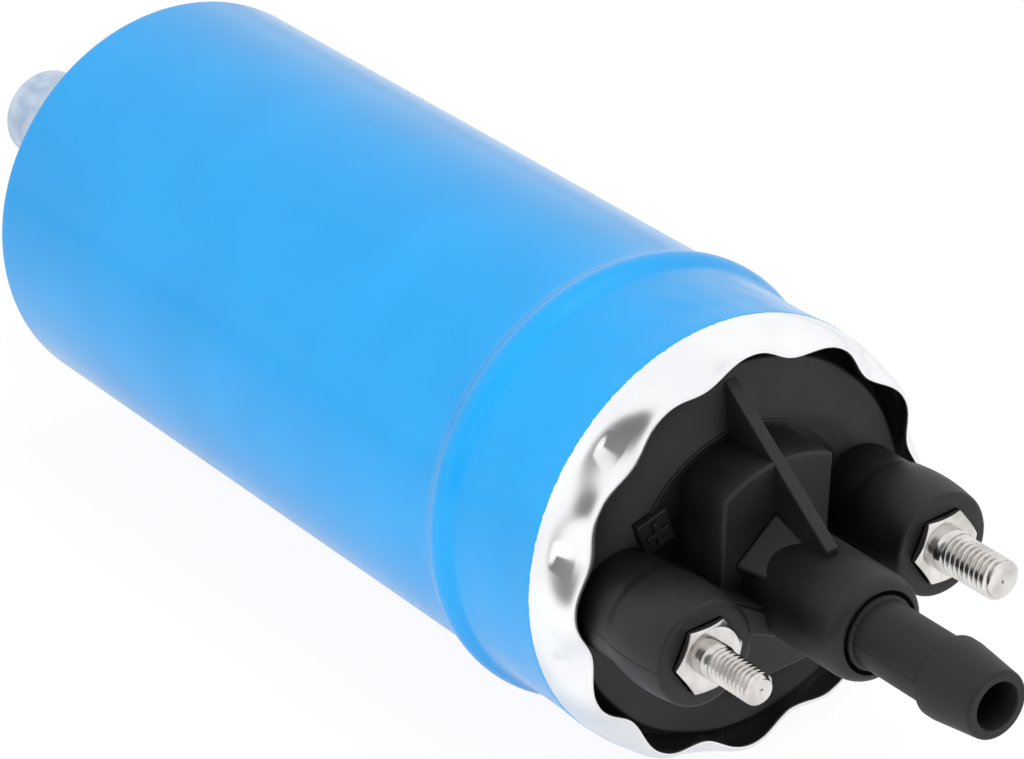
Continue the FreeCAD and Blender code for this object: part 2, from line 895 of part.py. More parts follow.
def make_coupling():
    body = new_body("drive_coupling")
    coupling_end = coupling_start + dim.coupling_thick
    tube(body, "disc", coupling_start, coupling_end, dim.coupling_radius, dim.shaft_radius)
    claws = draw_ring_of(dim.claw_radius, dim.claw_circle, (0, 180))
    pad(body, "claws", coupling_end - dim.overlap, coupling_end + dim.claw_length, claws)
    return body


def make_shaft():
    body = new_body("armature_shaft")
    points = [
        (shaft_start, 0),
        (shaft_start, dim.shaft_radius),
        (shaft_shoulder, dim.shaft_radius),
        (shaft_shoulder, dim.shaft_middle_radius),
        (hub_end, dim.shaft_middle_radius),
        (hub_end, dim.shaft_radius),
        (shaft_end, dim.shaft_radius),
        (shaft_end, 0),
    ]
    spin(body, "shaft", points)
    return body


def slot_outline(inset):
    """One winding slot, its walls moved in by the inset."""
    outer = slot_outer_radius - inset
    inner = dim.slot_inner_radius + inset
    outer_half = dim.slot_outer_half - inset
    inner_half = dim.slot_inner_half - inset
    return [(inner, -inner_half), (outer, -outer_half), (outer, outer_half), (inner, inner_half)]


def make_core():
    body = new_body("armature_core")

    def draw(sketch):
        add_circle(sketch, 0, 0, core_radius)
        add_circle(sketch, 0, 0, dim.shaft_middle_radius)

    def draw_slot(sketch):
        add_loop(sketch, slot_outline(zero))

    def draw_mouth(sketch):
        inner = slot_outer_radius - dim.overlap
        mouth = dim.slot_mouth
        outer = core_radius + dim.overlap
        outline = [(inner, -mouth), (outer, -mouth), (outer, mouth), (inner, mouth)]
        add_loop(sketch, outline)

    pad(body, "stack", core_start, core_end, draw)
    slot = pocket(body, "slot", core_start, core_end, draw_slot)
    mouth = pocket(body, "mouth", core_start, core_end, draw_mouth)
    repeat(body, "slots", [slot, mouth], dim.core_slots)
    return body


def make_windings():
    body = new_body("armature_windings")
    bars_start = core_start - dim.collar_thick
    bars_end = core_end + dim.collar_thick
    tube_inner = dim.collar_radius

    def draw_bar(sketch):
        add_loop(sketch, slot_outline(dim.winding_gap))

    front_start = bars_start - dim.winding_overhang
    tube(body, "front_turns", front_start, bars_start, winding_radius, tube_inner)
    bar = pad(body, "bar", bars_start, bars_end, draw_bar)
    repeat(body, "bars", [bar], dim.core_slots)
    tube(body, "rear_turns", bars_end, commutator_start - dim.commutator_hub_rim, winding_radius, tube_inner)
    return body


def make_collars():
    body = new_body("armature_collars")
    inner = dim.shaft_middle_radius
    outer = dim.collar_radius
    first = core_start - dim.collar_thick - dim.winding_overhang
    tube(body, "front_collar", first, core_start, outer, inner)
    tube(body, "rear_collar", core_end, commutator_start - dim.commutator_hub_rim, outer, inner)
    return body


def make_commutator_hub():
    body = new_body("commutator_hub")
    outer = commutator_radius - dim.commutator_bar_thick
    start = commutator_start - dim.commutator_hub_rim
    tube(body, "hub", start, hub_end, outer, dim.shaft_middle_radius)
    return body


def make_commutator_bars():
    body = new_body("commutator_bars")
    outer = commutator_radius
    inner = outer - dim.commutator_bar_thick
    outline = [
        (commutator_start, inner),
        (commutator_end, inner),
        (commutator_end, outer),
        (commutator_start, outer),
    ]
    bar = spin(body, "bar", outline, arc=dim.commutator_bar_arc)
    repeat(body, "bars", [bar], dim.core_slots)
    return body


def make_bushes():
    inner = dim.shaft_radius + dim.running_gap
    front = new_body("front_bush")
    front_start = discharge_start + dim.bush_setback
    tube(front, "bush", front_start, front_start + dim.bush_length, dim.bush_radius, inner)
    rear = new_body("rear_bush")
    rear_start = bush_boss_start + dim.bush_setback
    tube(rear, "bush", rear_start, rear_start + dim.bush_length, dim.bush_radius, inner)
    return [front, rear]


def make_washers():
    body = new_body("thrust_washers")
    outer = dim.bush_radius - dim.washer_margin
    inner = dim.shaft_radius
    tube(body, "front_washer", shaft_shoulder - dim.washer_thick, shaft_shoulder, outer, inner)
    tube(body, "rear_washer", hub_end, hub_end + dim.washer_thick, outer, inner)
    return body


# Stator


def make_flux_ring():
    body = new_body("flux_ring")
    tube(body, "ring", ring_start, carrier_start, stack_radius, flux_inner)
    return body


def make_magnets():
    start = ring_start + dim.magnet_setback
    end = carrier_start - dim.magnet_end_setback
    outline = [(start, magnet_inner), (end, magnet_inner), (end, flux_inner), (start, flux_inner)]
    magnets = []
    for label, turn in (("magnet_upper", 0), ("magnet_lower", 180)):
        body = new_body(label)
        spin(body, "segment", outline, role="XZ_Plane", arc=dim.magnet_arc)
        body.Placement = Placement(body.Placement.Base, Rotation(Vector(1, 0, 0), turn))
        magnets.append(body)
    return magnets


def make_magnet_clips():
    body = new_body("magnet_clips")
    start = ring_start + dim.magnet_setback
    end = carrier_start - dim.magnet_end_setback
    inner = flux_inner - dim.clip_thick
    outline = [(start, inner), (end, inner), (end, flux_inner), (start, flux_inner)]
    clip = spin(body, "clip", outline, arc=dim.clip_arc)
    repeat(body, "clips", [clip], 2)
    return body


# Brush gear

# The positive terminal is the smaller one, on the -Y side
plus_side = -1
brush_half = dim.brush_width / 2
tube_half_length = brush_half + dim.brush_gap + dim.tube_wall
tube_half_height = dim.brush_height / 2 + dim.brush_gap + dim.tube_wall
brush_start = brush_station - brush_half
tube_start = brush_station - tube_half_length
tube_end = brush_station + tube_half_length
tower_end = tube_end + dim.tower_wall


def make_brush_carrier():
    body = new_body("brush_carrier")
    tube(body, "ring", carrier_start, cap_start, stack_radius, carrier_bore)
    tower_half = tube_half_height + dim.tower_wall

    def draw_towers(sketch):
        reach = carrier_bore + dim.overlap
        middle = (tower_inner + reach) / 2
        half = (reach - tower_inner) / 2
        add_loop(sketch, box_outline(middle, zero, half, tower_half))
        add_loop(sketch, box_outline(-middle, zero, half, tower_half))

    def draw_wells(sketch):
        add_loop(sketch, box_outline(zero, zero, tube_outer_end, tube_half_height))

    pad(body, "towers", carrier_start, tower_end, draw_towers)
    pocket(body, "wells", tube_start, tube_end, draw_wells)
    return body


def make_brush_tube(label, side):
    body = new_body(label)
    middle = (tower_inner + tube_outer_end) / 2 * side
    half = (tube_outer_end - tower_inner) / 2
    room = dim.brush_height / 2 + dim.brush_gap

    def draw_outside(sketch):
        add_loop(sketch, box_outline(middle, zero, half, tube_half_height))

    def draw_inside(sketch):
        add_loop(sketch, box_outline(middle, zero, half, room))

    pad(body, "tube", tube_start, tube_end, draw_outside)
    pocket(body, "room", tube_start + dim.tube_wall, tube_end - dim.tube_wall, draw_inside)
    return body


brush_face = commutator_radius + dim.brush_gap


def make_brush(label, side):
    body = new_body(label)
    back = brush_face + dim.brush_length
    front = commutator_radius - dim.overlap
    middle = (back + front) / 2 * side
    half = (back - front) / 2

    def draw(sketch):
        add_loop(sketch, box_outline(middle, zero, half, dim.brush_height / 2))

    def draw_track(sketch):
        add_circle(sketch, 0, 0, brush_face)

    pad(body, "block", brush_start, brush_start + dim.brush_width, draw)
    pocket(body, "track", brush_start, brush_start + dim.brush_width, draw_track)
    return body


def make_brush_spring(label, side):
    wire = dim.brush_spring_wire
    start = brush_face + dim.brush_length + wire + dim.spring_gap
    end = tube_outer_end - wire - dim.spring_gap / 2
    spring = coil(label, start, end, dim.brush_spring_radius, wire, dim.brush_spring_turns)
    foot = -start if side < 0 else end
    spring.Placement = Placement(Vector(0, 0, 0), Rotation(Vector(1, 0, 0), 90))
    spring.setExpression("Placement.Base.x", (brush_station - dim.clamp_station).text)
    spring.setExpression("Placement.Base.y", foot.text)
    return spring


# The strap's leg passes just inside the nut on the terminal's tail
nut_half = dim.stud_nut_across_flats / 2
strap_near = terminal_place - nut_half - dim.strap_nut_gap - dim.strap_thick


def make_strap(label, side, stud_radius):
    """A brass strap: a lug round the terminal and a leg down to the brush tube."""
    body = new_body(label)
    lug_start = cavity_top - dim.strap_thick
    lug_end = terminal_place + stud_radius + dim.strap_margin
    width = dim.strap_half_width + dim.strap_margin

    def draw_lug(sketch):
        middle = (strap_near + lug_end) / 2 * side
        add_loop(sketch, box_outline(middle, zero, (lug_end - strap_near) / 2, width))
        add_circle(sketch, terminal_place * side, 0, stud_radius + dim.hole_clearance)

    def draw_leg(sketch):
        middle = (strap_near + dim.strap_thick / 2) * side
        add_loop(sketch, box_outline(middle, zero, dim.strap_thick / 2, dim.strap_half_width))

    pad(body, "lug", lug_start, cavity_top, draw_lug)
    pad(body, "leg", tower_end, lug_start, draw_leg)
    pad(body, "foot", tube_end, tower_end, draw_leg)
    return body


def make_strap_slots(carrier):
    """Openings in the towers through which the straps reach the brush tubes."""
    middle = strap_near + dim.strap_thick / 2
    half = dim.strap_thick / 2 + dim.hole_clearance
    half_width = dim.strap_half_width + dim.hole_clearance

    def draw(sketch):
        add_loop(sketch, box_outline(middle, zero, half, half_width))
        add_loop(sketch, box_outline(-middle, zero, half, half_width))

    pocket(carrier, "strap_slots", tube_end, tower_end, draw)


# End cap


def add_hub(body):
    """The raised block behind the outlet boss, round on its upper side."""
    sketch = new_sketch(body, "YZ_Plane", "hub_sketch", plateau - dim.overlap)
    radius = dim.hub_radius
    left = dim.hub_left.value
    right = dim.hub_right.value
    bottom = dim.hub_bottom.value
    left_top = math.sqrt(radius.value ** 2 - left ** 2)
    right_top = math.sqrt(radius.value ** 2 - right ** 2)
    corners = [
        Vector(-left, left_top, 0),
        Vector(-left, -bottom, 0),
        Vector(right, -bottom, 0),
        Vector(right, right_top, 0),
    ]
    for i in range(3):
        sketch.addGeometry(Part.LineSegment(corners[i], corners[i + 1]))
    start = math.atan2(right_top, right)
    end = math.atan2(left_top, -left)
    circle = Part.Circle(Vector(0, 0, 0), Vector(0, 0, 1), radius.value)
    sketch.addGeometry(Part.ArcOfCircle(circle, start, end))
    for joint in ((0, 2, 1, 1), (1, 2, 2, 1), (2, 2, 3, 1), (3, 2, 0, 1), (3, 3, -1, 1)):
        sketch.addConstraint(Sketcher.Constraint("Coincident", *joint))
    sketch.addConstraint(Sketcher.Constraint("Vertical", 0))
    sketch.addConstraint(Sketcher.Constraint("Horizontal", 1))
    sketch.addConstraint(Sketcher.Constraint("Vertical", 2))
    bind(sketch, "Radius", 3, radius)
    bind(sketch, "DistanceX", 1, 1, -1, 1, dim.hub_left)
    bind(sketch, "DistanceX", -1, 1, 2, 1, dim.hub_right)
    bind(sketch, "DistanceY", 1, 1, -1, 1, dim.hub_bottom)
    feature = body.newObject("PartDesign::Pad", "hub")
    feature.Profile = sketch
    feature.setExpression("Length", (dim.hub_rise + dim.overlap).text)


def add_ledge(body):
    """The block beside the outlet boss and the web that ties the smaller terminal's boss to it."""
    half_reach = dim.ledge_reach / 2
    across, up = polar(half_reach, dim.ledge_angle)

    def draw_block(sketch):
        add_loop(sketch, turned_outline(across, up, half_reach, dim.ledge_half_width, dim.ledge_angle))

    def draw_web(sketch):
        outline = [
            (0, dim.web_top),
            (-dim.web_reach, dim.web_top),
            (-dim.web_reach, -dim.web_outer_bottom),
            (-dim.web_root, -dim.web_tangent),
            (0, -dim.web_tangent),
        ]
        add_loop(sketch, outline)

    pad(body, "ledge", hub_front - dim.overlap, ledge_front, draw_block)
    pad(body, "web", plateau - dim.overlap, ledge_front, draw_web)


def add_rib(body):
    """The thin fin from the rim up to the outlet boss."""
    sketch = new_sketch(body, "XZ_Plane", "rib_sketch")
    base = cap_floor - dim.overlap
    rib_outer_radius = stack_radius - dim.rib_setback
    outline = [
        (base, zero),
        (cap_floor + dim.rib_rise, zero),
        (cap_floor + dim.rib_rise, dim.rib_tip_radius),
        (cap_floor, rib_outer_radius),
        (base, rib_outer_radius),
    ]
    add_loop(sketch, outline)
    feature = body.newObject("PartDesign::Pad", "rib")
    feature.Profile = sketch
    feature.Midplane = True
    feature.setExpression("Length", (dim.rib_half_thick * 2).text)


def add_terminal_bosses(body):
    collar_start = boss_front - dim.boss_collar_length
    places = (terminal_place, -terminal_place)

    def draw_roots(sketch):
        for place in places:
            add_circle(sketch, place, 0, dim.boss_root_radius)

    def draw_collars(sketch):
        for place in places:
            add_circle(sketch, place, 0, dim.boss_collar_radius)

    pad(body, "boss_roots", cap_floor - dim.overlap, collar_start, draw_roots)
    collars = pad(body, "boss_collars", collar_start, boss_front, draw_collars)
    doc.recompute()
    names = []
    for number, edge in enumerate(collars.Shape.Edges, start=1):
        curve = edge.Curve
        if not isinstance(curve, Part.Circle):
            continue
        at_front = abs(curve.Center.x - boss_front.value) < 0.02
        if at_front and abs(curve.Radius - dim.boss_collar_radius.value) < 0.02:
            names.append(f"Edge{number}")
    fillet = body.newObject("PartDesign::Fillet", "boss_rounds")
    fillet.Base = (collars, names)
    fillet.setExpression("Radius", dim.boss_round.text)


def add_mark(body):
    """A small square pad with a plain plus sign beside the smaller terminal."""
    across = dim.mark_pad_y
    up = dim.mark_pad_z
    turn = dim.mark_pad_turn
    top = plateau + dim.mark_pad_rise

    def draw_pad(sketch):
        add_loop(sketch, turned_outline(across, up, dim.mark_pad_half, dim.mark_pad_half, turn))

    def draw_bar(long, short):
        return lambda sketch: add_loop(sketch, turned_outline(across, up, long, short, turn))

    pad(body, "mark_pad", cap_floor - dim.overlap, top, draw_pad)
    pad(body, "mark_across", top, top + dim.mark_height, draw_bar(dim.mark_bar_reach, dim.mark_bar_half))
    pad(body, "mark_up", top, top + dim.mark_height, draw_bar(dim.mark_bar_half, dim.mark_bar_reach))


def make_end_cap():
    body = new_body("end_cap")
    cone_radius = stack_radius - dim.cap_cone_run
    seal_start = cap_start + dim.seal_groove_start
    seal_end = seal_start + dim.seal_groove_width
    groove_radius = stack_radius - dim.seal_groove_depth
    points = [
        (cap_start, cap_cavity_radius),
        (cap_start, stack_radius),
        (seal_start, stack_radius),
        (seal_start, groove_radius),
        (seal_end, groove_radius),
        (seal_end, stack_radius),
        (cap_shoulder, stack_radius),
        (cap_floor, cone_radius),
        (cap_floor, dim.plateau_radius),
        (plateau, dim.plateau_radius),
        (plateau, 0),
        (cavity_top, 0),
        (cavity_top, cap_cavity_radius),
    ]
    spin(body, "flange", points)
    add_hub(body)
    add_ledge(body)
    add_rib(body)
    add_terminal_bosses(body)
    add_mark(body)
    boss = [
        (plateau - dim.overlap, 0),
        (plateau - dim.overlap, dim.outlet_boss_radius),
        (outlet_front, dim.outlet_boss_radius),
        (outlet_front, 0),
    ]
    outlet = spin(body, "outlet_boss", boss)
    edge = [(outlet_front, dim.outlet_boss_radius)]
    round_rings(body, "outlet_round", outlet, edge, dim.outlet_boss_round)
    boss_end = cavity_top + dim.overlap
    tube(body, "bush_boss", bush_boss_start, boss_end, dim.bush_boss_radius, dim.bush_radius)
    bore_radius = dim.nozzle_radius + dim.nozzle_gap
    bore = [
        (bush_seat_end, 0),
        (bush_seat_end, dim.bush_radius),
        (cavity_top, dim.bush_radius),
        (cavity_top, dim.passage_radius),
        (chamber_start, dim.passage_radius),
        (chamber_start, bore_radius),
        (outlet_front - dim.outlet_recess_depth, bore_radius),
        (outlet_front - dim.outlet_recess_depth, dim.outlet_recess_radius),
        (outlet_front, dim.outlet_recess_radius),
        (outlet_front + dim.overlap, dim.outlet_recess_radius),
        (outlet_front + dim.overlap, 0),
    ]
    spin(body, "outlet_bore", bore, cut=True)

    def draw_windows(sketch):
        reach = dim.bush_boss_radius + dim.overlap
        add_loop(sketch, box_outline(zero, zero, dim.window_half_width, reach))

    pocket(body, "windows", bush_seat_end, cavity_top, draw_windows)
    for name, place, radius in terminals:
        hole = draw_at(place, radius + dim.hole_clearance)
        recess = draw_hex_at(place, recess_flat, 0)
        pocket(body, f"{name}_hole", cavity_top, boss_front, hole)
        pocket(body, f"{name}_recess", hex_start, boss_front, recess)
    return body


hex_sides = 6
half_facet = as_size(180 / hex_sides)
hex_flat = dim.hex_across_flats / 2
recess_flat = hex_flat + dim.hex_recess_gap
seal_radius = hex_flat - dim.stud_seal_margin


def draw_at(place, radius):
    return lambda sketch: add_circle(sketch, place, 0, radius)


def draw_hex_at(place, flat, first):
    """A sketch drawer for a hexagon about a place, its first corner this many half facets round."""
    corner = flat / half_facet.cosine()
    corners = [polar(corner, half_facet * (2 * i + first)) for i in range(hex_sides)]
    return lambda sketch: add_loop(sketch, [(place + across, up) for across, up in corners])


terminals = (
    ("m5", terminal_place, dim.m5_radius),
    ("m4", -terminal_place, dim.m4_radius),
)


def make_cap_seal():
    ring = doc.addObject("Part::Torus", "cap_seal")
    ring.Label = "cap_seal"
    outer = can_inner
    inner = stack_radius - dim.seal_groove_depth
    station = cap_start + dim.seal_groove_start + dim.seal_groove_width / 2
    ring.setExpression("Radius1", ((outer + inner) / 2).text)
    ring.setExpression("Radius2", ((outer - inner) / 2).text)
    ring.Placement = Placement(Vector(0, 0, 0), Rotation(Vector(0, 1, 0), 90))
    ring.setExpression("Placement.Base.x", (station - dim.clamp_station).text)
    return ring


# Terminals

def make_stud(label, place, radius, pitch, reach):
    """A terminal stud: tail, hex collar, a land that centres a lug, and a helical thread."""
    blank = new_body(f"{label}_blank")
    tip = hex_front + reach
    tail = cavity_top - dim.strap_thick - dim.stud_nut_thick - dim.stud_tail
    land_end = hex_front + dim.stud_land
    land = radius + dim.land_oversize
    crest = radius - dim.thread_undersize
    inner = crest - dim.tip_chamfer
    points = [
        (tail, 0),
        (tail, inner),
        (tail + dim.tip_chamfer, crest),
        (hex_start, crest),
        (hex_start, land),
        (land_end, land),
        (land_end, crest),
        (tip - dim.tip_chamfer, crest),
        (tip, inner),
        (tip, 0),
    ]
    spin(blank, "rod", points)
    corner = hex_flat / half_facet.cosine()
    pad(blank, "hex", hex_start, hex_front, draw_hex_at(zero, hex_flat, 0))
    chamfer = [
        (hex_front - dim.hex_chamfer, corner + dim.groove_overlap),
        (hex_front, hex_flat),
        (hex_front + dim.groove_overlap, hex_flat),
        (hex_front + dim.groove_overlap, corner + dim.overlap),
        (hex_front - dim.hex_chamfer, corner + dim.overlap),
    ]
    spin(blank, "hex_chamfer", chamfer, cut=True)
    depth = pitch * dim.thread_depth_share
    helix = doc.addObject("Part::Helix", f"{label}_helix")
    helix.setExpression("Radius", crest.text)
    helix.setExpression("Pitch", pitch.text)
    helix.setExpression("Height", (tip - dim.tip_chamfer - pitch - land_end).text)
    rim = doc.addObject("Part::Feature", f"{label}_groove")
    half_mouth = (pitch * dim.groove_mouth_share).value
    half_root = (pitch * dim.groove_root_share).value
    root = (crest - depth).value
    mouth = (crest + dim.groove_overlap).value
    corners = [
        Vector(root, 0, -half_root),
        Vector(mouth, 0, -half_mouth),
        Vector(mouth, 0, half_mouth),
        Vector(root, 0, half_root),
    ]
    rim.Shape = Part.makePolygon(corners + corners[:1])
    groove = doc.addObject("Part::Sweep", f"{label}_thread")
    groove.Sections = [rim]
    groove.Spine = (helix, ["Edge1"])
    groove.Solid = True
    groove.Frenet = True
    groove.Placement = Placement(Vector(0, 0, 0), Rotation(Vector(0, 1, 0), 90))
    groove.setExpression("Placement.Base.x", (land_end + pitch / 2 - dim.clamp_station).text)
    stud = doc.addObject("Part::Cut", label)
    stud.Label = label
    stud.Base = blank
    stud.Tool = groove
    stud.setExpression("Placement.Base.y", place.text)
    return stud


def make_stud_seals():
    body = new_body("stud_seals")
    start = hex_start - dim.stud_seal_thick
    for name, place, radius in terminals:

        def draw(sketch):
            add_circle(sketch, place, 0, seal_radius)
            add_circle(sketch, place, 0, radius + dim.hole_clearance)

        pad(body, f"{name}_seal", start, hex_start, draw)
    return body


def add_seal_rooms(cap):
    """Counterbores under the hex collars that hold the terminal seals."""
    start = hex_start - dim.stud_seal_thick
    for name, place, radius in terminals:
        pocket(cap, f"{name}_seal_room", start, hex_start, draw_at(place, seal_radius))


def make_stud_nuts():
    body = new_body("stud_nuts")
    end = cavity_top - dim.strap_thick
    start = end - dim.stud_nut_thick
    for name, place, radius in terminals:
        draw_outside = draw_hex_at(place, nut_half, 1)

        def draw(sketch):
            draw_outside(sketch)
            add_circle(sketch, place, 0, radius - dim.thread_undersize)

        pad(body, f"{name}_nut", start, end, draw)
    return body


# Outlet


def make_nozzle():
    body = new_body("outlet_nozzle")
    start = outlet_front - dim.nozzle_seat
    barb = outlet_front + dim.barb_start
    barb_top = barb + dim.barb_slope
    land_end = barb_top + dim.barb_land
    tip = outlet_front + dim.nozzle_reach
    points = [
        (start, dim.nozzle_bore),
        (start, dim.nozzle_radius),
        (barb, dim.nozzle_radius),
        (barb_top, dim.barb_radius),
        (land_end, dim.barb_radius),
        (tip, dim.nozzle_tip_radius),
        (tip, dim.nozzle_bore),
    ]
    stem = spin(body, "barb", points)
    edge = [(tip, dim.nozzle_tip_radius), (tip, dim.nozzle_bore)]
    round_rings(body, "tip_round", stem, edge, dim.nozzle_tip_round)
    return body


valve_seat_end = chamber_start + dim.valve_seat_thick
valve_head_start = valve_seat_end + dim.seat_gap
valve_head_end = valve_head_start + dim.valve_head_thick


def make_valve_seat():
    body = new_body("check_valve_seat")
    outer = dim.nozzle_radius + dim.nozzle_gap
    tube(body, "seat", chamber_start, valve_seat_end, outer, dim.valve_seat_hole)
    return body


def make_poppet():
    body = new_body("check_valve_poppet")
    stem_end = valve_head_end + dim.valve_stem_length
    points = [
        (valve_head_start, 0),
        (valve_head_start, dim.valve_head_radius),
        (valve_head_end, dim.valve_head_radius),
        (valve_head_end, dim.valve_stem_radius),
        (stem_end, dim.valve_stem_radius),
        (stem_end, 0),
    ]
    spin(body, "poppet", points)
    return body


def make_valve_spring():
    start = valve_head_end + dim.spring_wire + dim.spring_gap
    end = outlet_front - dim.nozzle_seat - dim.spring_wire - dim.spring_gap
    radius = dim.valve_spring_radius
    spring = coil("check_valve_spring", start, end, radius, dim.spring_wire, dim.spring_turns)
    lay_along_x(spring, start)
    return spring


def make_all():
    cap = make_end_cap()
    add_seal_rooms(cap)
    carrier = make_brush_carrier()
    make_strap_slots(carrier)
    pieces = [
        make_sleeve(),
        make_can(),
        make_inlet_fitting(),
        make_strainer(),
        make_inlet_seal(),
        make_suction_plate(),
        make_cam_ring(),
        make_rotor(),
        make_rollers(),
        make_discharge_plate(),
        make_screws(),
        make_dowels(),
        make_relief_ball(),
        make_relief_spring(),
        make_coupling(),
        make_shaft(),
        make_core(),
        make_windings(),
        make_collars(),
        make_commutator_hub(),
        make_commutator_bars(),
        make_washers(),
        make_flux_ring(),
        make_magnet_clips(),
        carrier,
        make_brush_tube("brush_tube_plus", plus_side),
        make_brush_tube("brush_tube_minus", -plus_side),
        make_brush("brush_plus", plus_side),
        make_brush("brush_minus", -plus_side),
        make_brush_spring("brush_spring_plus", plus_side),
        make_brush_spring("brush_spring_minus", -plus_side),
        make_strap("terminal_strap_plus", plus_side, dim.m4_radius),
        make_strap("terminal_strap_minus", -plus_side, dim.m5_radius),
        cap,
        make_cap_seal(),
        make_stud("terminal_stud_m5", terminal_place, dim.m5_radius, dim.m5_pitch, dim.m5_reach),
        make_stud("terminal_stud_m4", -terminal_place, dim.m4_radius, dim.m4_pitch, dim.m4_reach),
        make_stud_seals(),
        make_stud_nuts(),
        make_nozzle(),
        make_valve_seat(),
        make_poppet(),
        make_valve_spring(),
    ]
    return pieces + make_bushes() + make_magnets()


pieces = make_all()
doc.recompute()
os.makedirs("parts", exist_ok=True)
for item in doc.Objects:
    if "Invalid" in item.State or "Error" in item.State:
        raise RuntimeError(f"{item.Label} has state {item.State}")
for piece in pieces:
    shape = piece.Shape
    if shape.isNull() or not shape.isValid() or not shape.Solids:
        raise RuntimeError(f"{piece.Label} has no valid solid")
    shape.exportStep(f"parts/{piece.Label}.step")
    print(piece.Label, len(shape.Solids), round(shape.Volume, 1))
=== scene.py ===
import json
import bpy
import numpy as np
from mathutils import Matrix

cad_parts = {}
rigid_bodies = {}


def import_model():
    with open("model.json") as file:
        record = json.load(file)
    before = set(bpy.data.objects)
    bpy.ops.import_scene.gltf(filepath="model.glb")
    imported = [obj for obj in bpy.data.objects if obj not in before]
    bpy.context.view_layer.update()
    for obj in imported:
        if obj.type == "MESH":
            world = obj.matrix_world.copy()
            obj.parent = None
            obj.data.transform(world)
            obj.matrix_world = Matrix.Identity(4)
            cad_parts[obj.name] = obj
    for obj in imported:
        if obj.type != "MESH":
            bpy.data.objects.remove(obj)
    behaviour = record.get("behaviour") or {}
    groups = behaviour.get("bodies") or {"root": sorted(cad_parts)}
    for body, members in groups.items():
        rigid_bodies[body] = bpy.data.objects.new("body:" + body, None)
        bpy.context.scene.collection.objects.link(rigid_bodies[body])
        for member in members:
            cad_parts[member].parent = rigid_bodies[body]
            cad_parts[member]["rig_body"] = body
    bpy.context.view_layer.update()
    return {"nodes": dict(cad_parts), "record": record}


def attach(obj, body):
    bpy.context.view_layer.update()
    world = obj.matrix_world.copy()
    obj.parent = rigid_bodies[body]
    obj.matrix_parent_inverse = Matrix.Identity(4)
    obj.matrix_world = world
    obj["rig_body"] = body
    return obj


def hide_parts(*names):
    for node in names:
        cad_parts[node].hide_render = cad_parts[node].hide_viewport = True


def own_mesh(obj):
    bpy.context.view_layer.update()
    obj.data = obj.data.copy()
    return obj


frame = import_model()
print("frame loaded with", len(frame["nodes"]), "nodes")

# Stations run along the pump from the outer face of its closed end, in millimetres
millimetre = 0.001
clampStation = 48.0  # where the row's origin lies
turn = 2 * np.pi


# Shapes. A shell is its points, its quads and its end caps; outward when rows run along +X and columns turn from Y to Z

def skin(points, closedRows=False):
    # Quad (a, b) joins row a to a + 1 and column b to b + 1; the columns close round
    rows, columns = points.shape[:2]
    a, b = np.meshgrid(np.arange(rows if closedRows else rows - 1), np.arange(columns), indexing="ij")
    nextRow, nextColumn = (a + 1) % rows, (b + 1) % columns
    quads = [a * columns + b, a * columns + nextColumn, nextRow * columns + nextColumn, nextRow * columns + b]
    ring = np.arange(columns)
    caps = [] if closedRows else [ring[::-1], ring + (rows - 1) * columns]
    return points.reshape(-1, 3), np.stack(quads, -1).reshape(-1, 4), caps


def roundAxis(station, radius, columns, centre=(0.0, 0.0)):
    # y = r cos t, z = r sin t: (rows x columns) stations and radii carried round an axis along X
    angle = np.arange(columns) * turn / columns
    station, radius = np.broadcast_arrays(station, radius + 0 * angle)
    return np.stack([station, radius * np.cos(angle) + centre[0], radius * np.sin(angle) + centre[1]], -1)


def turned(profile, columns, closedRows=True):
    # A (station, radius) profile carried round the axis
    return skin(roundAxis(profile[:, :1], profile[:, 1:], columns), closedRows)


def quarter(count):
    # That many angles from 0 to a right angle
    return np.linspace(0, np.pi / 2, count)


def smooth(value):
    # s = v^2 (3 - 2 v) between 0 and 1
    value = np.clip(value, 0, 1)
    return value * value * (3 - 2 * value)


def hexagonRadius(flat, degrees):
    # r = flat / cos(a - 30) within each sixth
    return flat / np.cos(np.radians(degrees % 60 - 30))


def roundedLine(corners, radii, steps=5, closed=False):
    # Each corner becomes an arc of its radius: p = c + (start - c) turned by a share of the corner's angle
    corners = np.asarray(corners, float)
    count = len(corners)
    line = []
    for i in range(count):
        radius = radii[i] if np.ndim(radii) else radii
        if radius <= 0 or (not closed and i in (0, count - 1)):
            line.append(corners[i:i + 1])
            continue
        before = corners[i] - corners[i - 1]
        after = corners[(i + 1) % count] - corners[i]
        before = before / np.linalg.norm(before)
        after = after / np.linalg.norm(after)
        angle = np.arctan2(before[0] * after[1] - before[1] * after[0], before @ after)
        reach = radius * np.tan(abs(angle) / 2)
        start = corners[i] - before * reach
        centre = start + np.array([-before[1], before[0]]) * radius * np.sign(angle)
        t = np.linspace(0, angle, steps + 1)[:, None]
        c, s = np.cos(t), np.sin(t)
        x, y = start - centre
        arc = centre + np.hstack([c * x - s * y, s * x + c * y])
        # A point just before and after the arc keeps the flats beside it evenly shaded
        lead = min(0.04, radius / 4)
        line += [[start - before * lead], arc, [corners[i] + after * (reach + lead)]]
    return np.concatenate(line)


def insetLoop(loop, distance):
    # Each point of a closed counterclockwise loop moves inwards along the mitre of its two edges
    before = loop - np.roll(loop, 1, 0)
    after = np.roll(loop, -1, 0) - loop
    before /= np.linalg.norm(before, axis=1)[:, None]
    after /= np.linalg.norm(after, axis=1)[:, None]
    inwardBefore = np.stack([-before[:, 1], before[:, 0]], -1)
    inwardAfter = np.stack([-after[:, 1], after[:, 0]], -1)
    lean = 1 + (inwardBefore * inwardAfter).sum(1)
    return loop + (inwardBefore + inwardAfter) / lean[:, None] * distance


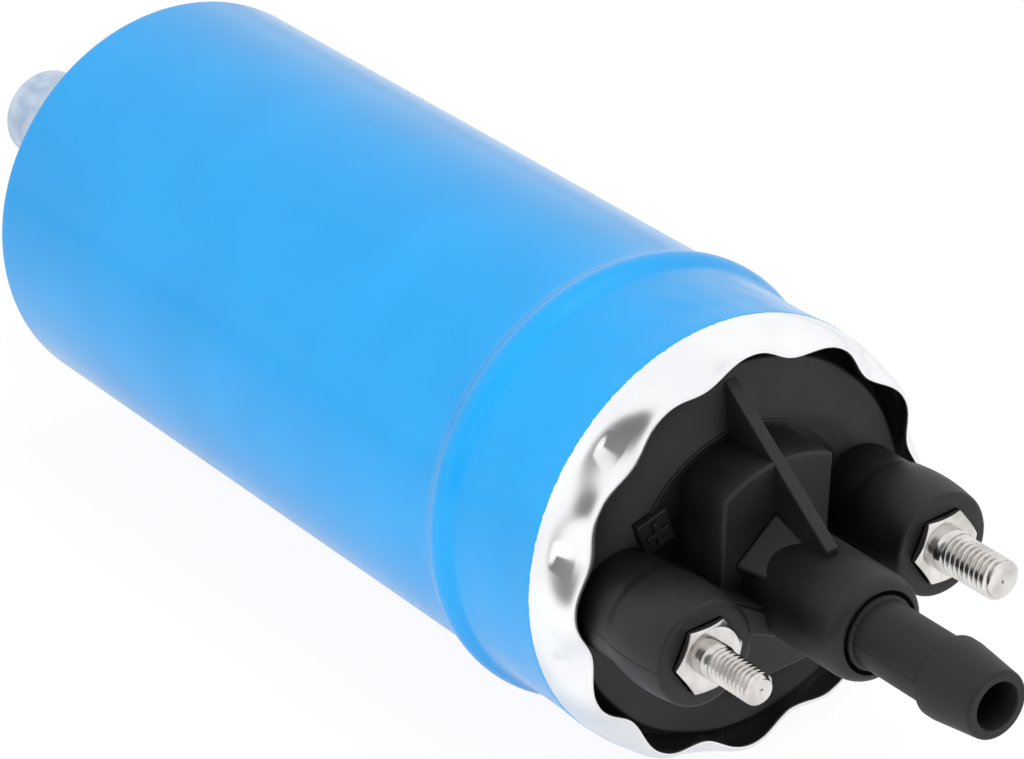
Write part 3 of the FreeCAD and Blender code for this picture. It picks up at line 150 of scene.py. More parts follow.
def block(outline, start, end, edge, bothEnds=False):
    # An outline carried along the first axis; inset = edge (1 - cos t) rounds its end edges by quarter arcs
    arc = quarter(6)
    margin = edge / 4
    rows = [(start, 0)]
    if bothEnds:
        rows = [(start, edge + margin)]
        rows += [(start + edge * (1 - np.cos(t)), edge * (1 - np.sin(t))) for t in arc]
        rows += [(start + edge + margin, 0)]
    rows += [(end - edge - margin, 0)]
    rows += [(end - edge * (1 - np.sin(t)), edge * (1 - np.cos(t))) for t in arc]
    rows += [(end, edge + margin)]
    loops = [np.column_stack([np.full(len(outline), station), insetLoop(outline, inset)]) for station, inset in rows]
    return skin(np.array(loops))


def makePiece(name, shells, material, nodes):
    # Joins shells into one mesh in the row's frame and puts it in place of CAD nodes
    points = np.concatenate([shell[0] for shell in shells])
    points[:, 0] -= clampStation
    counts = np.cumsum([0] + [len(shell[0]) for shell in shells])
    quads = np.concatenate([shell[1] + count for shell, count in zip(shells, counts)])
    caps = [cap + count for shell, count in zip(shells, counts) for cap in shell[2]]
    corners = np.concatenate([quads.ravel()] + caps)
    sizes = np.concatenate([np.full(len(quads), 4), np.array([len(cap) for cap in caps], int)])
    starts = np.cumsum(sizes) - sizes
    mesh = bpy.data.meshes.new(name)
    mesh.vertices.add(len(points))
    mesh.vertices.foreach_set("co", (points * millimetre).ravel())
    mesh.loops.add(len(corners))
    mesh.loops.foreach_set("vertex_index", corners)
    mesh.polygons.add(len(sizes))
    mesh.polygons.foreach_set("loop_start", starts)
    mesh.polygons.foreach_set("use_smooth", np.ones(len(sizes), bool))
    mesh.update(calc_edges=True)
    mesh.validate()
    mesh.materials.append(material)
    piece = bpy.data.objects.new(name, mesh)
    bpy.context.scene.collection.objects.link(piece)
    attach(piece, frame["nodes"][nodes[0]]["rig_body"])
    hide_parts(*nodes)


# Materials

def linear(hexText):
    # sRGB to linear light: c / 12.92 below 0.04045, else ((c + 0.055) / 1.055) ^ 2.4
    value = np.array([int(hexText[i:i + 2], 16) for i in (1, 3, 5)]) / 255
    light = np.where(value <= 0.04045, value / 12.92, ((value + 0.055) / 1.055) ** 2.4)
    return (*light.tolist(), 1.0)


def addNode(tree, kind, settings=None, links=None):
    # Adds one shader node. A setting with a socket's name goes to that socket; stops are a colour ramp's
    node = tree.nodes.new(kind)
    for name, value in (settings or {}).items():
        if name == "stops":
            for element, (position, colour) in zip(node.color_ramp.elements, value):
                element.position, element.color = position, linear(colour)
        elif name in node.inputs:
            node.inputs[name].default_value = value
        else:
            setattr(node, name, value)
    for name, source in (links or {}).items():
        tree.links.new(source.outputs[0] if isinstance(source, bpy.types.Node) else source, node.inputs[name])
    return node


def newTree(owner):
    owner.use_nodes = True
    owner.node_tree.nodes.clear()
    return owner.node_tree


def perMetre(size):
    # A noise's scale from the size of its blotches in millimetres
    return 1 / (size * millimetre)


# The middle of a noise, over which a colour goes from dark to light and a roughness from smoother to rougher
fleckPlaces = (0.35, 0.65)
noiseMiddle = {"From Min": 0.3, "From Max": 0.7}


# Heat-shrunk film: a glossy blue polymer skin that lies a little uneven where it has drawn tight, with fine creases
film = {"deep": "#0A96DC", "pale": "#0E9BE2", "roughness": 0.18, "smoother": 0.03, "rougher": 0.04, "waveSize": 14.0,
        "waveDepth": 0.0012, "creaseSize": 5.0, "creaseDepth": 0.004, "creaseStrength": 0.5, "creaseTwist": 1.2,
        "creaseBand": {"From Min": 0.49, "From Max": 0.51}, "grainSize": 0.6, "grainDepth": 0.0008, "ior": 1.42}


def makeFilm():
    look = film
    material = bpy.data.materials.new("heatShrunkFilm")
    tree = newTree(material)
    place = addNode(tree, "ShaderNodeTexCoord").outputs["Object"]
    wave = addNode(tree, "ShaderNodeTexNoise", {"Scale": perMetre(look["waveSize"]), "Detail": 1.0}, {"Vector": place})
    crease = addNode(tree, "ShaderNodeTexNoise", {"Scale": perMetre(look["creaseSize"]), "Detail": 4.0,
                                                  "Distortion": look["creaseTwist"]}, {"Vector": place})
    # Only the steepest band of this noise shows, as thin wandering creases
    thin = addNode(tree, "ShaderNodeMapRange", look["creaseBand"], {"Value": crease.outputs["Fac"]})
    grain = addNode(tree, "ShaderNodeTexNoise", {"Scale": perMetre(look["grainSize"])}, {"Vector": place})
    flecks = {"stops": zip(fleckPlaces, (look["deep"], look["pale"]))}
    colour = addNode(tree, "ShaderNodeValToRGB", flecks, {"Fac": wave})
    band = {**noiseMiddle, "To Min": look["roughness"] - look["smoother"],
            "To Max": look["roughness"] + look["rougher"]}
    rough = addNode(tree, "ShaderNodeMapRange", band, {"Value": grain.outputs["Fac"]})
    fine = addNode(tree, "ShaderNodeBump", {"Distance": look["grainDepth"] * millimetre}, {"Height": grain})
    creased = addNode(tree, "ShaderNodeBump", {"Distance": look["creaseDepth"] * millimetre,
                                               "Strength": look["creaseStrength"]}, {"Height": thin, "Normal": fine})
    waved = addNode(tree, "ShaderNodeBump", {"Distance": look["waveDepth"] * millimetre},
                    {"Height": wave, "Normal": creased})
    shader = addNode(tree, "ShaderNodeBsdfPrincipled", {"IOR": look["ior"]},
                     {"Base Color": colour, "Roughness": rough, "Normal": waved})
    addNode(tree, "ShaderNodeOutputMaterial", {}, {"Surface": shader})
    return material


# Zinc plated steel sheet: bright and nearly smooth, clouded a little by the plating, with faint rolling marks
sheetSteel = {"dark": "#EDEEF1", "light": "#F7F8F9", "roughness": 0.29, "smoother": 0.04, "rougher": 0.06,
              "cloudSize": 9.0, "markSize": 0.5, "markDepth": 0.0015, "dingSize": 3.5, "dingDepth": 0.01}


def makeSheetSteel():
    look = sheetSteel
    material = bpy.data.materials.new("zincPlatedSheet")
    tree = newTree(material)
    place = addNode(tree, "ShaderNodeTexCoord").outputs["Object"]
    cloud = addNode(tree, "ShaderNodeTexNoise", {"Scale": perMetre(look["cloudSize"])}, {"Vector": place})
    marks = addNode(tree, "ShaderNodeTexNoise", {"Scale": perMetre(look["markSize"]), "Detail": 3.0}, {"Vector": place})
    ding = addNode(tree, "ShaderNodeTexNoise", {"Scale": perMetre(look["dingSize"]), "Detail": 0.5}, {"Vector": place})
    flecks = {"stops": zip(fleckPlaces, (look["dark"], look["light"]))}
    colour = addNode(tree, "ShaderNodeValToRGB", flecks, {"Fac": cloud})
    band = {**noiseMiddle, "To Min": look["roughness"] - look["smoother"],
            "To Max": look["roughness"] + look["rougher"]}
    rough = addNode(tree, "ShaderNodeMapRange", band, {"Value": cloud.outputs["Fac"]})
    fine = addNode(tree, "ShaderNodeBump", {"Distance": look["markDepth"] * millimetre}, {"Height": marks})
    dinged = addNode(tree, "ShaderNodeBump", {"Distance": look["dingDepth"] * millimetre},
                     {"Height": ding, "Normal": fine})
    shader = addNode(tree, "ShaderNodeBsdfPrincipled", {"Metallic": 1.0},
                     {"Base Color": colour, "Roughness": rough, "Normal": dinged})
    addNode(tree, "ShaderNodeOutputMaterial", {}, {"Surface": shader})
    return material


# Every other finish: flecks of two close colours, a roughness that follows them, and a grain of its own size and depth
finishes = {
    # Glass filled nylon from a spark eroded tool: black, with a fine matt grain; it shows coarser than the real 0.05 mm
    "glassFilledNylon": {"dark": "#0C0A0A", "light": "#121010", "roughness": 0.52, "patch": 6.0, "grain": 0.14,
                         "depth": 0.007, "ior": 1.5},
    # Acetal from a polished tool: a smoother, slightly glossier black than the cap's
    "mouldedAcetal": {"dark": "#0E0C0C", "light": "#141212", "roughness": 0.56, "patch": 5.0, "grain": 0.3,
                      "depth": 0.002, "ior": 1.48},
    # Nickel plated turned bar: warm grey, clear reflections, marks left by the threading die, and thread roots darkened
    # by painted shade
    "nickelPlatedSteel": {"dark": "#C3BFBB", "light": "#E2DFDC", "roughness": 0.17, "patch": 3.0, "grain": 0.35,
                          "depth": 0.006, "metallic": 1.0,
                          "paintedRootShade": {"From Min": 0.44, "From Max": 0.5, "To Min": 0.3}},
    # Zinc plated turned bar: a paler, hazier grey; its blue tinge is a painted reflection of the blue sleeve
    "zincWithPaintedBlueReflection": {"dark": "#A6B9D0", "light": "#C4D2E3", "roughness": 0.32, "patch": 3.0, "grain": 0.5,
                           "depth": 0.006, "metallic": 1.0},
    # Sintered iron, faces ground flat: dull grey with open pores
    "groundSinteredSteel": {"dark": "#77787A", "light": "#9A9B9D", "roughness": 0.42, "patch": 1.8, "grain": 0.3,
                            "depth": 0.004, "metallic": 1.0},
    # Hardened ground steel: a clear blue-grey polish
    "hardenedGroundSteel": {"dark": "#A9ABAF", "light": "#CDCFD2", "roughness": 0.18, "patch": 2.4, "grain": 0.4,
                            "depth": 0.002, "metallic": 1.0},
    # Drawn spring wire: darker, with a die's fine scratches
    "drawnSpringWire": {"dark": "#8B8C8E", "light": "#B3B4B6", "roughness": 0.3, "patch": 0.9, "grain": 0.15,
                        "depth": 0.003, "metallic": 1.0},
    # Electrical steel laminations: dark blue-grey with the stack's edge roughness
    "electricalSteel": {"dark": "#55575A", "light": "#6E7073", "roughness": 0.4, "patch": 2.1, "grain": 0.35,
                        "depth": 0.006, "metallic": 1.0},
    # Lacquered copper wire: glossy red-brown, lumpy from its turns
    "lacqueredCopperWire": {"dark": "#8E3F1C", "light": "#C1652F", "roughness": 0.28, "patch": 2.4, "grain": 0.4,
                            "depth": 0.05, "metallic": 1.0},
    # Commutator copper, worn bright by the brushes
    "wornCopper": {"dark": "#B5653F", "light": "#DE9468", "roughness": 0.25, "patch": 1.8, "grain": 0.3,
                   "depth": 0.003, "metallic": 1.0},
    # Stamped brass strip: yellow with a light tarnish
    "stampedBrass": {"dark": "#B08A3E", "light": "#DCBB6C", "roughness": 0.28, "patch": 3.0, "grain": 0.5,
                     "depth": 0.003, "metallic": 1.0},
    # Oil-filled sintered bronze: brown-gold and porous
    "sinteredBronze": {"dark": "#80552A", "light": "#A97A45", "roughness": 0.45, "patch": 1.2, "grain": 0.2,
                       "depth": 0.01, "metallic": 1.0},
    # Moulded nitrile rubber: soft black with a dull bloom
    "nitrileRubber": {"dark": "#151515", "light": "#1F1F1F", "roughness": 0.6, "patch": 4.0, "grain": 0.4,
                      "depth": 0.006, "ior": 1.5},
    # Sintered ferrite: charcoal grey and gritty
    "sinteredFerrite": {"dark": "#2A2B2D", "light": "#3B3C3E", "roughness": 0.55, "patch": 2.5, "grain": 0.25,
                        "depth": 0.008, "ior": 1.6},
    # Pressed carbon: matt black with a greasy sheen
    "pressedCarbon": {"dark": "#1C1D1F", "light": "#2C2D30", "roughness": 0.5, "patch": 2.0, "grain": 0.2,
                      "depth": 0.01, "ior": 1.55},
    # Unpigmented acetal: the ivory of the natural resin
    "naturalMoulding": {"dark": "#CDBF9C", "light": "#DDD1B2", "roughness": 0.4, "patch": 6.0, "grain": 0.6,
                        "depth": 0.004, "ior": 1.48},
    # Woven polyamide mesh: pale and rough from its threads
    "wovenMesh": {"dark": "#8C8A7C", "light": "#B5B3A4", "roughness": 0.6, "patch": 1.2, "grain": 0.12,
                  "depth": 0.03, "ior": 1.5},
}


# How far each of these finishes' roughness spreads to either side
finishSpread = {"smoother": 0.05, "rougher": 0.07}


def makeFinish(name):
    look = finishes[name]
    material = bpy.data.materials.new(name)
    tree = newTree(material)
    place = addNode(tree, "ShaderNodeTexCoord").outputs["Object"]
    patch = addNode(tree, "ShaderNodeTexNoise", {"Scale": perMetre(look["patch"]), "Detail": 2.0}, {"Vector": place})
    grain = addNode(tree, "ShaderNodeTexNoise", {"Scale": perMetre(look["grain"]), "Detail": 2.0}, {"Vector": place})
    flecks = {"stops": zip(fleckPlaces, (look["dark"], look["light"]))}
    colour = addNode(tree, "ShaderNodeValToRGB", flecks, {"Fac": patch})
    band = {**noiseMiddle, "To Min": look["roughness"] - finishSpread["smoother"],
            "To Max": look["roughness"] + finishSpread["rougher"]}
    rough = addNode(tree, "ShaderNodeMapRange", band, {"Value": patch.outputs["Fac"]})
    relief = addNode(tree, "ShaderNodeBump", {"Distance": look["depth"] * millimetre}, {"Height": grain})
    if "paintedRootShade" in look:
        # Pointiness falls below 0.5 in a hollow, where the colour is darkened: painted shade in the thread roots
        point = addNode(tree, "ShaderNodeNewGeometry").outputs["Pointiness"]
        paintedShade = addNode(tree, "ShaderNodeMapRange", look["paintedRootShade"], {"Value": point})
        colour = addNode(tree, "ShaderNodeVectorMath", {"operation": "SCALE"}, {"Vector": colour, "Scale": paintedShade})
    body = {"Metallic": look["metallic"]} if "metallic" in look else {"IOR": look["ior"]}
    shader = addNode(tree, "ShaderNodeBsdfPrincipled", body,
                     {"Base Color": colour, "Roughness": rough, "Normal": relief})
    addNode(tree, "ShaderNodeOutputMaterial", {}, {"Surface": shader})
    return material


made = {name: makeFinish(name) for name in finishes}
made["film"] = makeFilm()
made["sheet"] = makeSheetSteel()
print("materials made:", len(made))

# The record's slots and the finish that each one gets
slotFinish = {
    "blue_sleeve": "film", "can_steel": "sheet", "inlet_zinc": "zincWithPaintedBlueReflection", "strainer_mesh": "wovenMesh",
    "seal_rubber": "nitrileRubber", "plate_steel": "groundSinteredSteel", "bright_steel": "hardenedGroundSteel",
    "spring_steel": "drawnSpringWire", "coupling_plastic": "naturalMoulding", "core_steel": "electricalSteel",
    "copper_wire": "lacqueredCopperWire", "copper_bar": "wornCopper", "ferrite": "sinteredFerrite",
    "black_plastic": "glassFilledNylon", "nozzle_plastic": "mouldedAcetal", "brass": "stampedBrass",
    "carbon": "pressedCarbon", "plated_stud": "nickelPlatedSteel", "bronze": "sinteredBronze",
}
for row in frame["record"]["subparts"]:
    node = frame["nodes"][row["node"]]
    node.data.materials.clear()
    node.data.materials.append(made[slotFinish[row["material_slot"]]])

# Each coil spring that a joint deforms gets a mesh of its own; its axis and fixed end are read from the record but not
# used
for joint in frame["record"]["behaviour"]["joints"]:
    for row in joint.get("deforming_nodes", []):
        letter = row["mode"][-1]
        axis = "xyz".index(letter)
        along, fixedEnd = np.zeros((2, 3))
        along[axis], fixedEnd[axis] = 1, row[f"fixed_end_{letter}_m"]
        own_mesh(frame["nodes"][row["node"]])


# Can: floor, wall under the sleeve and the lip rolled over the cap, with its twelve chisel dents
lip = {"start": 113.7, "length": 5.75, "root": 26.15, "edge": 25.0, "edgePower": 2.6, "rootPower": 0.6,
       "turnedIn": 1.4, "turnedTowards": 145.0, "turnedPower": 2.5, "wall": 0.5, "fineFrom": 0.34, "fineTo": 0.54,
       "tip": (0.16, -0.08), "rootRows": 8, "pitch": 30.0, "first": 11.0, "bump": 1.65, "bumpStart": 0.25,
       "bumpHalf": 15.0, "bumpPower": 1.15, "edgeDrop": 0.3, "mark": 0.5, "markStart": 0.42, "markWall": 0.08,
       "markEnd": 0.8, "markTop": 0.004, "markFade": 0.7, "narrow": 3.0, "wide": 6.0,
       "strength": (0.8, 0.9, 1.0, 0.15, 1.0, 1.2, 1.0, 0.9, 0.8, 1.0, 0.9, 0.7)}
# The can's other walls as (station, radius): outside from its floor's hole to the lip, with the swage under the
# sleeve's bead, and inside all the way back
can = {"outside": ((0.5, 6.5), (0.5, 25.5), (94.5, 25.5), (96.0, 26.6), (97.8, 26.6), (99.3, 25.5), (113.0, 25.5),
                   (113.5, 25.9)),
       "inside": ((113.9, 24.2), (99.0, 24.2), (97.8, 25.3), (96.0, 25.3), (94.8, 24.2), (2.5, 24.2), (2.5, 6.5)),
       "columns": 720}


def lipRadius(share, degrees):
    # r = edge + (root - edge) (1 - u^2.6)^0.6; the edge is turned in further on one side, by ((1 + cos a) / 2)^2.5
    side = (1 + np.cos(np.radians(degrees - lip["turnedTowards"]))) / 2
    edge = lip["edge"] - lip["turnedIn"] * side ** lip["turnedPower"]
    return edge + (lip["root"] - edge) * (1 - share ** lip["edgePower"]) ** lip["rootPower"]


def dentDepth(share, degrees):
    # A chisel bends the edge inwards in a wave, ((1 + cos x) / 2)^1.15, and leaves a small vee where it stood
    turns = (degrees - lip["first"]) / lip["pitch"] + 0.5
    away = (turns % 1 - 0.5) * lip["pitch"]
    wave = (0.5 + 0.5 * np.cos(np.pi * away / lip["bumpHalf"])) ** lip["bumpPower"]
    bump = lip["bump"] * smooth((share - lip["bumpStart"]) / (1 - lip["bumpStart"])) * wave
    strength = np.array(lip["strength"])[np.floor(turns).astype(int) % len(lip["strength"])]
    span = np.clip((share - lip["markStart"]) / (lip["markEnd"] - lip["markStart"]), 0, 1)
    width = lip["narrow"] + (lip["wide"] - lip["narrow"]) * span
    mark = np.clip(1 - np.sqrt((away / width) ** 2 + lip["markTop"]), 0, 1)
    rise = smooth((share - lip["markStart"]) / lip["markWall"])
    return bump + lip["mark"] * strength * mark * rise * (1 - span) ** lip["markFade"]


def canShells():
    # The lip's inner face = its outer face - wall along the normal (-dr/ds, 1), without the rows at its root
    fineFrom, fineTo = lip["fineFrom"], lip["fineTo"]
    share = np.concatenate([np.linspace(0, fineFrom, 9)[:-1], np.linspace(fineFrom, fineTo, 22)[:-1],
                            np.linspace(fineTo, 1, 22)])
    columns = can["columns"]
    degrees = np.arange(columns) * 360 / columns
    station = lip["start"] + lip["length"] * share
    radius = lipRadius(share[:, None], degrees[None, :])
    dent = dentDepth(share[:, None], degrees[None, :])
    edgeDrop = lip["edgeDrop"] * (dent / lip["bump"]) * share[:, None] ** 3
    slope = np.gradient(radius, station, axis=0)
    normal = np.stack([-slope, np.ones_like(slope)], -1)
    normal /= np.linalg.norm(normal, axis=2)[..., None]
    outer = np.stack([station[:, None] - edgeDrop, radius - dent], -1)
    inner = outer - normal * lip["wall"]
    tip = (outer[-1:] + inner[-1:]) / 2 + np.array(lip["tip"])
    outside, inside = [np.repeat(np.array(can[face])[:, None], columns, 1) for face in ("outside", "inside")]
    profile = np.concatenate([outside, outer, tip, inner[::-1][:-lip["rootRows"]], inside])
    return [skin(roundAxis(profile[..., 0], profile[..., 1], columns), True)]


makePiece("canWithLip", canShells(), made["sheet"], ["pump_can"])
print("can made")


def ripple(angle, station, waves, seed):
    # A sum of cosines of the angle and the station, with seeded phases: about -1 to 1
    phases = np.random.default_rng(seed).uniform(0, turn, len(waves))
    return sum(np.cos(a * angle + b * station + phase) for (a, b), phase in zip(waves, phases)) / len(waves)


# Sleeve: the film's outer face with the bead that it is drawn over, then back along its inner face
sleeve = {"radius": 26.0, "wall": 0.5, "foldRadius": 23.5, "end": 113.8, "endRise": 0.3, "endTurn": 130.0,
          "endRound": 1.0, "margin": 0.3, "bead": 97.1, "beadZone": 5.5, "beadGap": 0.5, "beadHeight": 1.18,
          "beadHalfWidth": 2.7, "ridge": 0.72, "tent": 0.28, "tentWidth": 1.15, "rideUp": 0.22, "rideFrom": 4.5,
          "rideLength": 5.5, "wrinkle": 0.05, "wrinkleWaves": ((7, 0.5), (13, -0.35), (23, 0.8), (41, 0.3)),
          "wrinkleSeed": 4, "gatherPlace": 7.0, "gatherWidth": 6.0, "ragged": 0.13,
          "raggedWaves": (53, 97, 141, 197, 263), "raggedSeed": 9, "raggedFrom": 1.2, "raggedLength": 0.9,
          "foldGap": 0.1, "columns": 640}


def sleeveShells():
    size = sleeve
    columns = size["columns"]
    angle = np.arange(columns) * turn / columns
    start, bead = size["endRound"], size["bead"]
    # The film's front edge runs a little further on one side: end + rise ((1 + cos a) / 2)^3
    end = size["end"] + size["endRise"] * ((1 + np.cos(angle - np.radians(size["endTurn"]))) / 2) ** 3
    zone = size["beadZone"]
    clear = zone + size["beadGap"]
    behind = np.linspace(start + size["margin"], bead - clear, 24)
    over = np.linspace(bead - zone, bead + zone, 45)
    along = np.repeat(np.concatenate([behind, over])[:, None], columns, 1)
    front = bead + clear + (end - size["margin"] - bead - clear) * np.linspace(0, 1, 30)[:, None]
    along = np.concatenate([along, front])
    offset = (along - bead) / size["beadHalfWidth"]
    # The bead is a rounded ridge, h = H (1 - x^2)^1.5, on a low tent of the film, exp(-(x / 1.15)^2)
    ridge = size["ridge"] * np.clip(1 - offset ** 2, 0, 1) ** 1.5
    lift = size["beadHeight"] * (ridge + size["tent"] * np.exp(-(offset / size["tentWidth"]) ** 2))
    # Near its edge the film rides up on the root of the lip
    lift = lift + size["rideUp"] * smooth((along - lip["start"] + size["rideFrom"]) / size["rideLength"])
    # Wrinkles of the drawn film gather behind its edge
    gather = np.exp(-((along - size["end"] + size["gatherPlace"]) / size["gatherWidth"]) ** 2)
    wrinkles = ripple(angle, along, size["wrinkleWaves"], size["wrinkleSeed"])
    outer = size["radius"] + lift + size["wrinkle"] * gather * wrinkles
    ragged = size["ragged"] * ripple(angle, 0, [(wave, 0) for wave in size["raggedWaves"]], size["raggedSeed"])
    along = along + ragged * np.clip((along - end + size["raggedFrom"]) / size["raggedLength"], 0, 1)
    arc = quarter(7)[:, None] + 0 * angle
    half = size["wall"] / 2
    tip = np.linspace(0, np.pi, 5)[:, None] + 0 * angle
    stations = [0 * arc[:1], 0 * arc[:1], start - start * np.cos(arc), along,
                end - half + half * np.sin(tip) + ragged, along[::-4], half * 2 + 0 * arc[:2]]
    radii = [0 * arc[:1] + size["foldRadius"], 0 * arc[:1] + size["radius"] - start - size["foldGap"],
             size["radius"] - start + start * np.sin(arc), outer, outer[-1:] - half + half * np.cos(tip),
             outer[::-4] - size["wall"], np.array([[size["radius"] - size["wall"]], [size["foldRadius"]]]) + 0 * angle]
    return [skin(roundAxis(np.concatenate(stations), np.concatenate(radii), columns), True)]


makePiece("blueSleeve", sleeveShells(), made["film"], ["shrink_sleeve"])
print("sleeve made")

# End cap: floor and plateau, hub, ledge, web, rib, terminal bosses, outlet boss and polarity pad
cap = {"flangeStart": 100.0, "flange": 24.1, "flangeBore": 20.3, "shoulder": 114.6, "floor": 117.6, "coneRun": 1.5,
       "plateau": 118.0, "plateauRadius": 15.2, "back": 112.0, "middle": 1.0, "root": 116.6,
       "rounding": (0, 0.3, 0.4, 0.5, 0, 0.12, 0, 0, 0), "columns": 360}
core = 0.5  # the radius at which a closed end's flat cap starts
hub = {"front": 125.8, "radius": 14.45, "turn": 7.2, "left": 9.2, "right": 5.55, "sideEnd": 1.0, "sideCorner": 2.0,
       "bottom": 11.7, "bottomLeft": -8.2, "bottomRight": 6.2, "bottomCorner": 0.5, "edge": 0.35}
ledge = {"base": 126.0, "front": 130.0, "turn": 126.5, "corner": 0.5,
         "baseBox": ((0.0, -4.2), (7.4, 3.25)), "frontBox": ((0.0, -3.4), (5.6, 2.4)),
         "rows": ((0, 0), (0.03, 0), (0.5, 0), (0.93, 0), (0.98, 0.06), (1, 0.2), (1, 0.3))}
web = {"outline": ((-12.0, 4.0), (-12.0, -0.5), (-2.0, -5.4), (0.5, -5.4), (0.5, -3.8)), "corner": 0.5, "edge": 0.3}
rib = {"half": 0.8, "foot": 0.5, "reach": 21.3, "frontReach": 7.1, "front": 134.2, "corner": 0.25, "edge": 0.2}
boss = {"place": 16.4, "root": 6.15, "lead": 0.3, "step": 122.7, "stepEnd": 124.5, "widest": 127.5, "collar": 6.72,
        "dome": 0.022, "front": 132.6, "bend": 132.0, "ring": 5.65, "recess": 131.6, "recessFlat": 3.9,
        "mouth": ((0.0, 0.12), (0.04, 0.04), (0.12, 0.0)), "seamRows": slice(1, 30), "seamWidth": 0.2,
        "seamHeight": 0.06, "columns": 144}
outlet = {"radius": 6.35, "front": 141.8, "roundAlong": 2.3, "roundAcross": 1.35, "recess": 4.9, "recessDepth": 1.0,
          "mouthGap": 0.04, "mouthDepth": 0.1, "bore": 4.1, "boreDepth": 19.0, "columns": 144}
pad = {"place": (-12.0, 7.2), "half": 2.05, "turn": 14.0, "rise": 0.8, "corner": 0.15, "edge": 0.12, "arm": 1.5,
       "bar": 0.33, "plusRise": 0.45, "plusRoot": 0.2, "plusCorner": 0.08, "plusEdge": 0.06}


def hubOutline():
    # An arc between two sides that lean by the hub's turn, then straight sides and the bottom
    size = hub
    lean = np.radians(size["turn"])
    across = np.array([np.cos(lean), -np.sin(lean)])
    down = np.array([-np.sin(lean), -np.cos(lean)])

    def sideAt(reach, height):
        point = across * reach
        return point + down * (point[1] - height) / np.cos(lean)

    def sideTop(reach):
        return across * reach - down * np.sqrt(size["radius"] ** 2 - reach ** 2)

    left, right = sideTop(-size["left"]), sideTop(size["right"])
    angle = np.linspace(np.arctan2(right[1], right[0]), np.arctan2(left[1], left[0]), 40)[:, None]
    arc = np.hstack([np.cos(angle), np.sin(angle)]) * size["radius"]
    lower = [sideAt(-size["left"], size["sideEnd"]), [size["bottomLeft"], -size["bottom"]],
             [size["bottomRight"], -size["bottom"]], sideAt(size["right"], size["sideEnd"])]
    corners = [0, size["sideCorner"], size["bottomCorner"], size["bottomCorner"], size["sideCorner"], 0]
    return np.concatenate([arc, roundedLine([arc[-1], *lower, arc[0]], corners, 4)[1:-1]])


def turnedOutline(corners, centre, degrees, corner, steps):
    # (x, y) -> (x cos a - y sin a, x sin a + y cos a) + centre, then rounded corners
    c, s = np.cos(np.radians(degrees)), np.sin(np.radians(degrees))
    return roundedLine(np.array(corners) @ np.array([[c, s], [-s, c]]) + np.array(centre), corner, steps, closed=True)


def turnedBox(centre, low, high, degrees, corner):
    # A rectangle between two corners of its own axes
    corners = [[low[0], low[1]], [high[0], low[1]], [high[0], high[1]], [low[0], high[1]]]
    return turnedOutline(corners, centre, degrees, corner, 3)


def seam(centre, degrees, stations, radii, width, height, sunk=0.1):
    # A mould's parting line: a low ridge of three sides that follows a boss at one angle
    stations, radii = np.asarray(stations)[:, None], np.asarray(radii)[:, None]
    half = width / 2 / radii
    angle = np.radians(degrees) + half * np.array([1, -1, 0])
    reach = radii + np.array([-sunk, -sunk, height])
    return skin(np.stack([stations + 0 * angle, reach * np.cos(angle) + centre[0], reach * np.sin(angle) + centre[1]],
                         -1))


def bossOutline():
    # The boss steps from its root to a domed collar, r = collar - dome (s - widest)^2, and ends in a quarter ellipse
    size = boss
    step = np.linspace(size["step"], size["stepEnd"], 8)
    side = np.linspace(size["stepEnd"], size["bend"], 14)
    domed = size["collar"] - size["dome"] * (side - size["widest"]) ** 2
    arc = quarter(8)[1:]
    stations = [[cap["root"], cap["root"], size["step"] - size["lead"]], step[:-1], side,
                size["bend"] + (size["front"] - size["bend"]) * np.sin(arc)]
    stepRadii = size["root"] + (domed[0] - size["root"]) * smooth((step[:-1] - step[0]) / (step[-1] - step[0]))
    radii = [[core, size["root"], size["root"]], stepRadii, domed,
             size["ring"] + (domed[-1] - size["ring"]) * np.cos(arc)]
    stations, radii = np.concatenate(stations)[:, None], np.concatenate(radii)[:, None]
    # The pocket of the terminal's hexagon; its mouth is rounded by rows of depth and gap
    degrees = np.arange(size["columns"]) * 360 / size["columns"]
    hexagon = hexagonRadius(size["recessFlat"], degrees)
    pocket = [(size["front"] - depth, gap) for depth, gap in size["mouth"]] + [(size["recess"], 0)]
    stations = np.concatenate([stations, [[station] for station, _ in pocket], [[size["recess"]]]])
    radii = np.concatenate([radii + 0 * degrees, [hexagon + gap for _, gap in pocket], [0 * degrees + core]])
    return stations, radii


def plusOutline(arm, bar):
    # Two crossed bars of half width bar, which reach arm from the middle
    return [[bar, -arm], [bar, -bar], [arm, -bar], [arm, bar], [bar, bar], [bar, arm], [-bar, arm],
            [-bar, bar], [-arm, bar], [-arm, -bar], [-bar, -bar], [-bar, -arm]]


